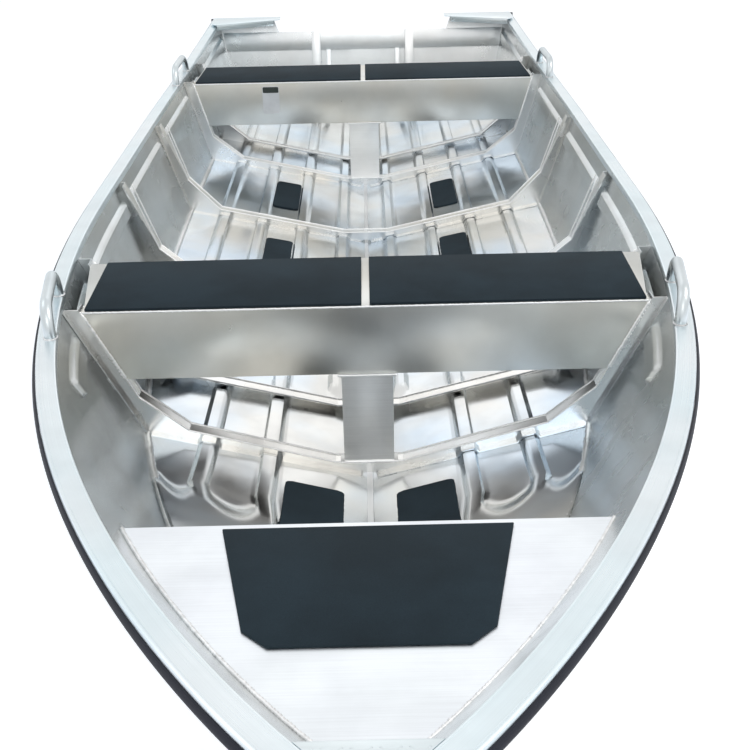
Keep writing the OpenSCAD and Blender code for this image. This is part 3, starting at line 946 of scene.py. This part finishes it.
@dataclass
class FlaredSides:
    """Two side plates with a raised band between each pair of frames."""

    lines: HullLines
    depth: float = 0.011
    fore: float = -0.193
    end_slope: float = 0.016
    band: tuple[float, float] = (0.165, 0.305)
    band_slope: float = 0.022
    columns: int = 80
    rows: int = 520

    def press(self, q: float, share: float) -> float:
        """Height of the raised band, inwards.

        Args:
            q: station.
            share: share of the height under the gunwale.

        Returns:
            The height.
        """
        near = min(abs(q - s) for s in self.lines.stations)
        ahead = q - self.fore * self.lines.bow
        ends = smoothstep((near - 0.038) / self.end_slope) * smoothstep(ahead / self.end_slope)
        ends *= smoothstep((self.lines.stern - 0.06 - q) / 0.025)
        upper, lower = self.band
        band = smoothstep((share - upper) / self.band_slope) * smoothstep((lower - share) / self.band_slope)
        return self.depth * ends * band

    def build(self, finish: Material) -> None:
        """Builds both sides.

        Args:
            finish: the plates' finish.
        """
        lines = self.lines
        for side in Side:
            name = side.name.lower()

            def place(i: int, j: int, sign: int = side.value) -> Vector:
                """Puts a grid point on the plate."""
                q = lerp(-lines.bow, lines.stern, j / (self.rows - 1))
                share = i / (self.columns - 1)
                p = lines.gunwale(q).lerp(lines.side_foot(q), share)
                inner = min(lines.side_in(q), p.x - 0.002)
                return Vector((sign * (p.x - inner - self.press(q, share)), p.y, p.z))

            dress = Dress(f"flared_side_{name}", finish, "side_plate")
            piece = sheet_piece(dress, self.columns, self.rows, place, -0.0028)
            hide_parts(f"side_{name}")
            log.info("built %s", piece.name)


@dataclass
class TopEdge:
    """Grooved gunwale extrusion with its black rub strip."""

    lines: HullLines
    inward: float = 0.013
    outward: float = 0.0262
    depth: float = 0.022
    grooves: tuple[float, ...] = (-0.0085, 0.0195)
    groove_half: float = 0.0008
    groove_depth: float = 0.0005
    rows: int = 190

    def cap_profile(self, q: float) -> list[tuple[float, float]]:
        """Outline of the extrusion: outwards, up.

        Args:
            q: station.

        Returns:
            The outline's points.
        """
        a, b = self.inward, self.outward
        leg = 0.012 - 0.011 * (max(-q, 0) / self.lines.bow) ** 1.2
        top: list[tuple[float, float]] = [
            (-a, -leg), (-a, 0.0035), (-a + 0.0012, 0.006), (-a + 0.0035, 0.007),
        ]
        for g in self.grooves:
            top += [
                (g - self.groove_half, 0.007), (g - self.groove_half / 3, 0.007 - self.groove_depth),
                (g + self.groove_half / 3, 0.007 - self.groove_depth), (g + self.groove_half, 0.007),
            ]
        top += [(b - 0.0045, 0.007), (b - 0.0018, 0.0058), (b, 0.002), (b, 0.006 - self.depth)]
        return top + [
            (0.0007, 0.006 - self.depth), (0.0007, 0.0003), (0.002 - a, 0.0003), (0.002 - a, -leg),
        ]

    def strip_profile(self, q: float) -> list[tuple[float, float]]:
        """Outline of the rub strip: outwards, up, alike at every station.

        Args:
            q: station, not used.

        Returns:
            The outline's points.
        """
        b, d = self.outward, self.depth
        return [
            (b + 0.0003, 0.0005), (b + 0.0035, 0.0), (b + 0.0055, -0.003), (b + 0.0068, -0.007),
            (b + 0.0055, 0.010 - d), (b + 0.0035, 0.008 - d), (b + 0.0003, 0.007 - d),
        ]

    def section(self, q: float, profile: Sequence[tuple[float, float]], sign: int) -> Path:
        """Outline placed at a station.

        Args:
            q: station.
            profile: outwards, up.
            sign: side of the boat.

        Returns:
            The section's points.
        """
        g, n = self.lines.gunwale(q), self.lines.outward(q)
        points: Path = []
        for out, up in profile:
            p = g + n * out + Vector((0, 0, up))
            if q <= -self.lines.bow:
                p.y += n.x * (0.0003 - p.x) / -n.y if n.y else 0.0
                p.x = 0.0003
            points.append(Vector((sign * p.x, p.y, p.z)))
        return points

    def build(self, gunwale: Material, rubber: Material) -> None:
        """Builds the extrusions and strips of both sides.

        Args:
            gunwale: finish of the extrusion.
            rubber: finish of the rub strip.
        """
        lines = self.lines
        end, last = lines.stern - 0.006, self.rows - 1
        stations = [lerp(-lines.bow, end, (j / last) ** 1.25) for j in range(self.rows)]
        for side in Side:
            name = side.name.lower()
            for label, profile, finish, slot in (
                ("gunwale", self.cap_profile, gunwale, "gunwale"),
                ("rub_strip", self.strip_profile, rubber, "rub_strip"),
            ):
                sections = [self.section(q, profile(q), side.value) for q in stations]
                piece = band_piece(Dress(f"{label}_band_{name}", finish, slot), sections)
                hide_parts(f"{label}_{name}")
                log.info("built %s", piece.name)


@dataclass
class Handles:
    """Four bent tube handles welded to the gunwale."""

    lines: HullLines
    radius: float = 0.0125
    length: float = 0.245
    height: float = 0.060
    bend: float = 0.054
    lean: float = math.radians(4)
    seat: float = -0.004
    around: int = 24

    def path(self, q: float) -> tuple[Path, Matrix]:
        """Middle line of a handle.

        Args:
            q: station of its middle.

        Returns:
            The line's points in the handle's own frame and the matrix that places them, port side.
        """
        lines = self.lines
        g, n = lines.gunwale(q), lines.outward(q)
        rise = lines.gunwale(q + 0.005).z - lines.gunwale(q - 0.005).z
        turn = (
            Matrix.Rotation(math.atan2(n.y, n.x), 4, "Z")
            @ Matrix.Rotation(self.lean, 4, "Y")
            @ Matrix.Rotation(math.atan(rise / 0.01), 4, "X")
        )
        place = Matrix.Translation((g.x + n.x * self.seat, g.y + n.y * self.seat, g.z + 0.0077)) @ turn
        half, r = self.length / 2, self.bend
        foot = self.radius * math.tan(self.lean) + 0.0001
        points = [Vector((0, -half, foot))]
        for k in range(13):
            a = math.pi / 2 * k / 12
            points.append(Vector((0, -half + r - r * math.cos(a), self.height - r + r * math.sin(a))))
        points += [Vector((0, -p.y, p.z)) for p in reversed(points)]
        return points, place

    def build(self, finish: Material, weld: Material) -> None:
        """Builds the four handles and the welds at their feet.

        Args:
            finish: the tube's finish.
            weld: the weld's finish.
        """
        lines = self.lines
        feet: list[Path] = []
        for label, q in (("fore", -0.053 * lines.bow), ("aft", lines.stations[4] - 0.02)):
            points, place = self.path(q)
            for side in Side:
                flip = Matrix.Diagonal((side.value, 1, 1, 1)) @ place
                sections: list[Path] = []
                for k, p in enumerate(points):
                    ahead = points[min(k + 1, len(points) - 1)] - points[max(k - 1, 0)]
                    if k in (0, len(points) - 1):
                        ahead = Vector((0, 0, -1 if k else 1))
                    ahead.normalize()
                    square = ahead.cross(Vector((1, 0, 0)))
                    sections.append([
                        flip @ (p + (Vector((math.cos(a), 0, 0)) + square * math.sin(a)) * self.radius)
                        for a in (math.tau * i / self.around for i in range(self.around))
                    ])
                name = side.name.lower()
                piece = band_piece(Dress(f"tube_{label}_{name}", finish, "handle"), sections)
                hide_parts(f"handle_{label}_{name}")
                slope = math.tan(self.lean)
                for end in (-1, 1):
                    middle = Vector((0, end * self.length / 2, self.radius * slope * 0.2))
                    ring = [math.tau * i / self.around for i in range(self.around + 1)]
                    rim = [Vector((math.cos(a), math.sin(a), math.cos(a) * slope)) for a in ring]
                    feet.append([flip @ (middle + p * self.radius) for p in rim])
                log.info("built %s", piece.name)
        bead_piece(Dress("handle_foot_welds", weld, "handle"), feet, 0.0026)


@dataclass
class Interior:
    """Frames, thwarts, posts, foredeck and pads with rounded edges, and their welds."""

    lines: HullLines
    deck_rear: float = -0.565
    deck_front: float = -0.944
    deck_drop: float = 0.080
    deck_bow_drop: float = 0.112
    frame_reach: float = 0.014
    stitch: float = 0.035
    stitch_pitch: float = 0.055
    rib_clear: float = 0.045
    side_stitch: float = 0.03
    side_pitch: float = 0.085

    def deck_paths(self) -> list[Path]:
        """Lines of the welds between the foredeck and the sides."""
        lines = self.lines
        rear, front = self.deck_rear * lines.bow, self.deck_front * lines.bow
        low, high = lines.gunwale(rear).z - self.deck_drop, lines.gunwale(front).z - self.deck_bow_drop
        slope = (high - low) / (front - rear)
        path: Path = []
        for j in range(90):
            q = lerp(rear, front, j / 89)
            g, c = lines.gunwale(q), lines.side_foot(q)
            a = low + slope * (g.y - lines.first - rear)
            p = g.lerp(c, (a - g.z) / ((c.z - g.z) - slope * (c.y - g.y)))
            path.append(Vector((p.x - lines.side_in(q) - 0.002, p.y, p.z + 0.0012)))
        return both_sides([path])

    def chine_paths(self) -> list[Path]:
        """Lines of the welds between the bottom and the sides."""
        lines = self.lines
        path: Path = []
        for j in range(221):
            q = lerp(-lines.bow + 0.05, lines.stern - 0.03, j / 220)
            foot = lines.side_foot(q)
            path.append(Vector((foot.x - lines.side_in(q) - 0.0012, foot.y, foot.z + 0.0012)))
        return both_sides([path])

    def member_x(self, index: int, z: float) -> float:
        """Inner face of a frame's side member at a height."""
        lines = self.lines
        shift = lines.plate if lines.webs[index] < 0 else 0
        return lines.side_x(lines.stations[index] - shift, z) - lines.member_depth

    def thwart_paths(self) -> list[Path]:
        """Lines of the welds between the thwarts' ends and the frames, on the forward and aft faces."""
        lines = self.lines
        top = lines.thwart_top - lines.draught
        paths: list[Path] = []
        for index, out in ((0, -0.0004), (1, 0.0004), (4, -0.0004), (5, 0.0004)):
            y = lines.first + lines.stations[index] + out
            heights = [lerp(top - lines.thwart_depth + 0.003, top - 0.003, j / 8) for j in range(9)]
            paths += both_sides([[Vector((self.member_x(index, z) - 0.0004, y, z)) for z in heights]])
        return paths

    def lip_paths(self) -> list[Path]:
        """Lines of the rounded folds along the thwarts' forward top edges, laid in bright trim metal as a
        painted highlight line.
        """
        lines = self.lines
        top = lines.thwart_top - lines.draught
        paths: list[Path] = []
        for q in (lines.stations[0], lines.stations[4]):
            half = lines.side_x(q, top) - lines.member_depth - 0.004
            y, z = lines.first + q + 0.0010, top - 0.0016
            paths.append([Vector((lerp(-half, half, j / 30), y, z)) for j in range(31)])
        return paths

    def post_paths(self, nodes: dict[str, Piece]) -> list[Path]:
        """Lines of the welds across the head and foot of the posts.

        Args:
            nodes: the solids by name.

        Returns:
            Lines on the forward faces.
        """
        paths: list[Path] = []
        for name in ("main_post", "stern_post"):
            xs, ys, zs = zip(*nodes[name].bound_box)
            for z in (min(zs) + 0.002, max(zs) - 0.002):
                paths.append([Vector((lerp(min(xs), max(xs), j / 12), min(ys), z)) for j in range(13)])
        return paths

    def frame_paths(self, index: int) -> list[Path]:
        """Stitches of weld between a frame and the bottom and sides.

        Args:
            index: number of the frame, from 0.

        Returns:
            One line for each stitch.
        """
        lines = self.lines
        station, web = lines.stations[index], lines.webs[index]
        q = station + self.frame_reach * (1 if web > 0 else -1)
        y = lines.first + q
        ribs = [centre for centre, start in lines.ribs if q > start - 0.02]
        outer = lines.chine(q).x - 0.02
        half: list[Path] = []
        x = 0.03
        while x < outer:
            end = min(x + self.stitch, outer)
            if all(min(abs(x - g), abs(end - g)) > self.rib_clear and not x < g < end for g in ribs):
                up = lines.bottom_up(q) + 0.001
                half.append([Vector((s, y, lines.bottom_z(q, s) + up)) for s in (x, end)])
            x += self.stitch_pitch
        z, high = lines.chine(q).z + 0.04, lines.gunwale(q).z - 0.03
        while z + self.side_stitch < high:
            half.append([Vector((lines.side_x(q, s) - 0.0012, y, s)) for s in (z, z + self.side_stitch)])
            z += self.side_pitch
        return both_sides(half)

    def hem_paths(self, index: int) -> list[Path]:
        """Raised edges of a frame's flange, laid in bright trim metal as painted highlight lines.

        Args:
            index: number of the frame, from 0.

        Returns:
            One line for each edge.
        """
        lines = self.lines
        q, web = lines.stations[index], lines.webs[index]
        knee_x, knee_z = lines.knees[index]
        knee, top = knee_z - lines.draught, lines.gunwale(q).z - 0.020
        half = [
            (lines.middle_half, lines.keel(q).z + 0.041), (knee_x, lines.bottom_z(q, knee_x) + 0.031),
            (self.member_x(index, knee), knee), (self.member_x(index, top), top),
        ]
        line = [(-x, z) for x, z in reversed(half)] + half
        paths: list[Path] = []
        for shift in (0.001, 0.036) if web < 0 else (-0.036, -0.001):
            y = lines.first + q + shift
            for part in (line[:4], line[4:], line[3:5]):
                paths.append([Vector((x, y, z + 0.0004)) for x, z in part])
        return paths

    def build(self, frame: dict, finishes: dict[str, Material]) -> None:
        """Rounds the solids inside the boat and lays the welds.

        Args:
            frame: what the frame loader returned.
            finishes: the finishes by slot.
        """
        nodes = frame["nodes"]
        slots = slots_of(frame)
        widths = {"frame": 0.0009, "thwart": 0.0022, "soft_pad": 0.0016, "transom": 0.0016, "gunwale": 0.0012,
                  "deck": 0.0010, "end_cap": 0.0020, "tread_plate": 0.0010}
        rounded = [
            name for name in nodes
            if name.startswith(("main_", "stern_", "corner_", "transom_d", "transom_s"))
            or name in ("foredeck_pad", "bow_plate")
        ]
        for name in rounded:
            slot = slots[name]
            # Posts take the lighter post metal, which is painted brightening.
            finish = finishes["post" if name.endswith("_post") else slot]
            piece = rounded_copy(nodes[name], Dress(f"{name}_rounded", finish, slot), widths[slot])
            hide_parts(name)
        log.info("rounded %d solids", len(rounded))
        stitches = [path for index in range(6) for path in self.frame_paths(index)]
        hems = [path for index in range(6) for path in self.hem_paths(index)]
        smooth, rippled = 0.0, 0.22
        for name, paths, radius, finish, slot, ripple in (
            ("frame_welds", stitches, 0.0024, "weld", "frame", rippled),
            # Frame hems: bright beads that paint the highlight lines along the flange edges.
            ("frame_hems", hems, 0.0022, "trim", "frame", smooth),
            ("chine_welds", self.chine_paths(), 0.0070, "trim", "bottom_plate", rippled),
            ("deck_welds", self.deck_paths(), 0.0034, "trim", "deck", rippled),
            # Thwart lips: bright beads that paint the highlight along the thwarts' top edges.
            ("thwart_lips", self.lip_paths(), 0.0026, "trim", "thwart", smooth),
            ("post_welds", self.post_paths(nodes), 0.0030, "trim", "thwart", rippled),
            ("thwart_welds", self.thwart_paths(), 0.0040, "trim", "thwart", rippled),
        ):
            bead_piece(Dress(name, finishes[finish], slot), paths, radius, ripple)
        log.info("welds laid")


@dataclass
class Fittings:
    """Blank label on the stern thwart and ridges on the tread plate."""

    lines: HullLines
    labels: tuple[tuple[str, str, tuple[float, float], tuple[float, float], float], ...] = (
        ("label_plate", "label", (-0.400, 0.226), (-0.334, 0.333), 0.0006),
        ("label_head", "label_head", (-0.398, 0.308), (-0.336, 0.331), 0.0009),
    )
    plate_front: float = -0.975
    plate_rear: float = -0.944
    ridge: tuple[float, float, float] = (0.0028, 0.011, 0.0014)
    ridge_lean: float = 38
    ridge_pitch: float = 0.014
    ridge_rows: int = 5

    def build(self, finishes: dict[str, Material]) -> None:
        """Builds the small pieces.

        Args:
            finishes: the finishes by slot.
        """
        lines = self.lines
        face = lines.first + lines.stations[4]
        for name, finish, low, high, out in self.labels:
            bm = bmesh.new()
            bmesh.ops.create_cube(bm, size=1.0)
            size = Vector((high[0] - low[0], out, high[1] - low[1]))
            bmesh.ops.scale(bm, vec=size, verts=bm.verts)
            middle = Vector(((low[0] + high[0]) / 2, face - out / 2 - 0.0001, (low[1] + high[1]) / 2))
            bmesh.ops.translate(bm, vec=middle, verts=bm.verts)
            upright = [e for e in bm.edges if abs((e.verts[0].co - e.verts[1].co).normalized().y) > 0.9]
            bevel(bm, upright, 0.004, 3)
            finish_piece(bm, Dress(name, finishes[finish], "thwart"))
        bm = bmesh.new()
        q0, q1 = self.plate_front * lines.bow + 0.004, self.plate_rear * lines.bow - 0.004
        count = 0
        for row in range(self.ridge_rows):
            q = lerp(q0, q1, (row + 0.5) / self.ridge_rows)
            g, n = lines.gunwale(q), lines.outward(q)
            half = g.x - n.x * 0.014 - 0.006
            steps = max(2, int(half * 2 / self.ridge_pitch))
            for k in range(steps):
                x = lerp(-half + 0.006, half - 0.006, k / (steps - 1))
                lean = math.radians(self.ridge_lean if (k + row) % 2 else -self.ridge_lean)
                made = bmesh.ops.create_cube(bm, size=1.0)["verts"]
                bmesh.ops.scale(bm, vec=self.ridge, verts=made)
                bmesh.ops.rotate(bm, cent=(0, 0, 0), matrix=Matrix.Rotation(lean, 3, "Z"), verts=made)
                bmesh.ops.translate(bm, vec=(x, lines.first + q, g.z + 0.0056), verts=made)
                count += 1
        bevel(bm, bm.edges[:], 0.0005, 1)
        finish_piece(bm, Dress("tread_ridges", finishes["tread_plate"], "tread_plate"))
        log.info("label and %d ridges built", count)


@dataclass
class Camera:
    """The camera of the photograph."""

    place: tuple[float, float, float] = (0.013, -3.182, 1.334)
    pitch: float = 26.95
    yaw: float = -0.11
    roll: float = -1.28
    lens: float = 54.24

    def build(self) -> None:
        """Creates the camera and makes it the scene's."""
        a, p, r = (math.radians(v) for v in (self.yaw, self.pitch, self.roll))
        flat = Vector((math.cos(a), math.sin(a), 0))
        ahead = Vector((-math.cos(p) * math.sin(a), math.cos(p) * math.cos(a), -math.sin(p)))
        above = Vector((-math.sin(p) * math.sin(a), math.sin(p) * math.cos(a), math.cos(p)))
        right = math.cos(r) * flat + math.sin(r) * above
        up = -math.sin(r) * flat + math.cos(r) * above
        data = bpy.data.cameras.new("camera")
        data.lens = self.lens
        data.sensor_width = 36.0
        data.clip_end = 200
        camera = add_object("camera", data)
        turn = Matrix((right, up, -ahead)).transposed().to_4x4()
        camera.matrix_world = Matrix.Translation(self.place) @ turn
        bpy.context.scene.camera = camera


@dataclass
class Studio:
    """White floor at the waterline, white world and soft lamps."""

    lamps: tuple[tuple[tuple[float, float, float], float, float, Colour], ...] = (
        ((-3.4, 0.5, 4.2), 2.4, 14, (0.90, 0.95, 1.0)),
        ((3.4, -1.0, 4.6), 2.4, 68, (1.0, 0.97, 0.92)),
        ((0.0, 5.5, 4.0), 3.0, 10, (1.0, 1.0, 1.0)),
        ((0.0, -4.6, 3.4), 2.4, 22, (1.0, 0.98, 0.95)),
    )
    glow: float = 0.50
    reach: float = 14.0

    def seen(self, tree: bpy.types.NodeTree) -> Socket:
        """Whether a ray comes from the camera, a reflection or glass.

        Args:
            tree: the nodes to wire it in.

        Returns:
            The value socket.
        """
        path = tree.nodes.new("ShaderNodeLightPath")
        total = path.outputs["Is Camera Ray"]
        for name in ("Is Glossy Ray", "Is Transmission Ray"):
            both = tree.nodes.new("ShaderNodeMath")
            both.operation = "MAXIMUM"
            tree.links.new(total, both.inputs[0])
            tree.links.new(path.outputs[name], both.inputs[1])
            total = both.outputs[0]
        return total

    def build_world(self) -> None:
        """Makes a world that looks white and lights softly."""
        scene = bpy.context.scene
        scene.view_settings.view_transform = "Standard"
        world = bpy.data.worlds.new("studio")
        scene.world = world
        world.use_nodes = True
        tree = world.node_tree
        tree.nodes.clear()
        out = tree.nodes.new("ShaderNodeOutputWorld")
        plain = tree.nodes.new("ShaderNodeBackground")
        plain.inputs[0].default_value = (1, 1, 1, 1)
        soft = tree.nodes.new("ShaderNodeBackground")
        soft.inputs[0].default_value = (0.84, 0.90, 1.0, 1)
        soft.inputs[1].default_value = 0.6
        mix = tree.nodes.new("ShaderNodeMixShader")
        tree.links.new(self.seen(tree), mix.inputs[0])
        tree.links.new(soft.outputs[0], mix.inputs[1])
        tree.links.new(plain.outputs[0], mix.inputs[2])
        tree.links.new(mix.outputs[0], out.inputs[0])

    def build_lamps(self) -> None:
        """Hangs the soft lamps over the boat."""
        for i, (place, size, power, colour) in enumerate(self.lamps):
            data = bpy.data.lights.new(f"lamp_{i}", "AREA")
            data.size = size
            data.energy = power
            data.color = colour
            lamp = add_object(f"lamp_{i}", data)
            lamp.location = place
            lamp.rotation_euler = (Vector((0, 0, 0)) - Vector(place)).to_track_quat("-Z", "Y").to_euler()

    def waterplane(self, lines: HullLines) -> Path:
        """Line in which the hull's outside cuts the water.

        Args:
            lines: the hull's lines.

        Returns:
            Points round the port half, from the stem to the transom.
        """
        points: Path = []
        for j in range(160):
            q = lerp(-lines.bow, lines.stern, j / 159)
            k, c, g = lines.keel(q), lines.chine(q), lines.gunwale(q)
            if k.z >= 0:
                continue
            if c.z > 0:
                t = -k.z / (c.z - k.z)
                p = k.lerp(c, t)
            else:
                p = c.lerp(g, -c.z / (g.z - c.z))
            points.append(Vector((p.x + 0.001, p.y, 0.0)))
        return points

    def build_floor(self, lines: HullLines) -> None:
        """Lays the floor with a hole where the hull floats.

        Args:
            lines: the hull's lines.
        """
        half = self.waterplane(lines)
        rim = [*half, *(Vector((-p.x, p.y, 0)) for p in reversed(half))]
        r = self.reach
        corners = [Vector((-r, -r, 0)), Vector((r, -r, 0)), Vector((r, r, 0)), Vector((-r, r, 0))]
        bm = bmesh.new()
        for loop in (rim, corners):
            verts = [bm.verts.new(p) for p in loop]
            for a, b in zip(verts, verts[1:] + verts[:1]):
                bm.edges.new((a, b))
        bmesh.ops.triangle_fill(bm, use_beauty=True, use_dissolve=False, edges=bm.edges[:], normal=(0, 0, 1))
        mesh = bpy.data.meshes.new("floor")
        bm.to_mesh(mesh)
        bm.free()
        floor = add_object("floor", mesh)
        n = Nodes("floor")
        n.fix(Base_Color=(0.94, 0.94, 0.94, 1), Roughness=0.9, Specular_IOR_Level=0.0)
        n.fix(Emission_Color=(1, 1, 1, 1))
        seen = n.add("ShaderNodeMath", operation="MULTIPLY")
        n.link(self.seen(n.tree), seen.inputs[0])
        seen.inputs[1].default_value = self.glow
        n.drive("Emission Strength", seen.outputs[0])
        mesh.materials.append(n.material)

    def build(self, lines: HullLines) -> None:
        """Builds the whole studio round a hull with the given lines."""
        self.build_world()
        self.build_lamps()
        self.build_floor(lines)


@dataclass
class Dressing:
    """The finishes by slot, and those of the solids that stay."""

    finishes: dict[str, Material] = field(default_factory=dict)

    def build(self, frame: dict) -> None:
        """Makes the finishes and gives every solid its own.

        Args:
            frame: what the frame loader returned.
        """
        metal = BrushedMetal
        makers = (
            # The bottom plate's bluish cool colour is a painted reflection of blue sky.
            metal("bottom_plate", (0.76, 0.76, 0.74), (0.66, 0.76, 0.86), roughness=0.18, waves=0.005,
                  wave_size=2.6, contrast=0.12),
            metal("side_plate", (0.64, 0.66, 0.66), (0.70, 0.75, 0.77), roughness=0.22, waves=0.004,
                  wave_size=1.4, contrast=0.12),
            metal("gunwale", (0.82, 0.88, 0.91), (0.76, 0.86, 0.90), Grain.ALONG, waves=0.0004,
                  grain_depth=0.00004, uv=True),
            metal("frame", (0.86, 0.85, 0.82), (0.85, 0.88, 0.90), roughness=0.26, wave_size=5.0,
                  contrast=0.08),
            metal("thwart", (0.74, 0.72, 0.66), (0.72, 0.73, 0.71), roughness=0.34, waves=0.003, wave_size=1.6,
                  contrast=0.1),
            metal("handle", (0.68, 0.73, 0.75), (0.62, 0.69, 0.72), waves=0.0, grain_depth=0.00004),
            metal("deck", (0.88, 0.92, 0.95), (0.86, 0.89, 0.94), Grain.ACROSS, 0.42, 0.001, 1.6, 0.00004,
                  contrast=0.2),
            metal("tread_plate", (0.78, 0.84, 0.86), (0.72, 0.80, 0.83), Grain.ACROSS, 0.34,
                  grain_depth=0.00004),
            metal("transom", (0.86, 0.87, 0.87), (0.84, 0.88, 0.90), waves=0.002, wave_size=1.8, contrast=0.1),
            metal("bar", (0.70, 0.70, 0.70), (0.66, 0.70, 0.74), grain_depth=0.00004),
            # Posts get this lighter copy of the metal: painted brightening that makes up for the dark interior
            # they reflect.
            metal("post", (0.96, 0.96, 0.94), (0.95, 0.97, 0.98), Grain.ACROSS, 0.46, 0.002, 1.6, 0.00002,
                  contrast=0.1),
            # Bright polished metal for welds, hems and thwart lips; on the hems and lips, its extra brightness
            # paints highlight lines along the edges.
            metal("trim", (0.96, 0.96, 0.96), (0.95, 0.97, 0.98), roughness=0.42, waves=0.0, wave_size=1.6),
            Foam("soft_pad", (0.017, 0.030, 0.039)),
            Foam("rub_strip", (0.012, 0.014, 0.024), 0.6, 0.0002),
            Moulded("end_cap", (0.012, 0.012, 0.014), 0.45),
            Moulded("plug", (0.10, 0.10, 0.11), 0.4),
            WeldMetal("weld"),
            Moulded("label", (0.72, 0.73, 0.73), 0.4),
            Moulded("label_head", (0.03, 0.04, 0.035), 0.4),
        )
        self.finishes = {maker.name: maker.make() for maker in makers}
        slots = slots_of(frame)
        for name, obj in frame["nodes"].items():
            obj.data.materials.clear()
            obj.data.materials.append(self.finishes[slots[name]])


def main() -> None:
    """Builds the scene in order."""
    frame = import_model()
    lines = HullLines()
    Camera().build()
    log.info("camera built")
    Studio().build(lines)
    log.info("studio built")
    dressing = Dressing()
    dressing.build(frame)
    finishes = dressing.finishes
    bottom = PressedBottom(lines)
    bottom.build(finishes["bottom_plate"])
    FloorPads(lines, bottom).build(finishes["soft_pad"])
    FlaredSides(lines).build(finishes["side_plate"])
    TopEdge(lines).build(finishes["gunwale"], finishes["rub_strip"])
    Handles(lines).build(finishes["handle"], finishes["weld"])
    Interior(lines).build(frame, finishes)
    Fittings(lines).build(finishes)


if __name__ == "__main__":
    main()
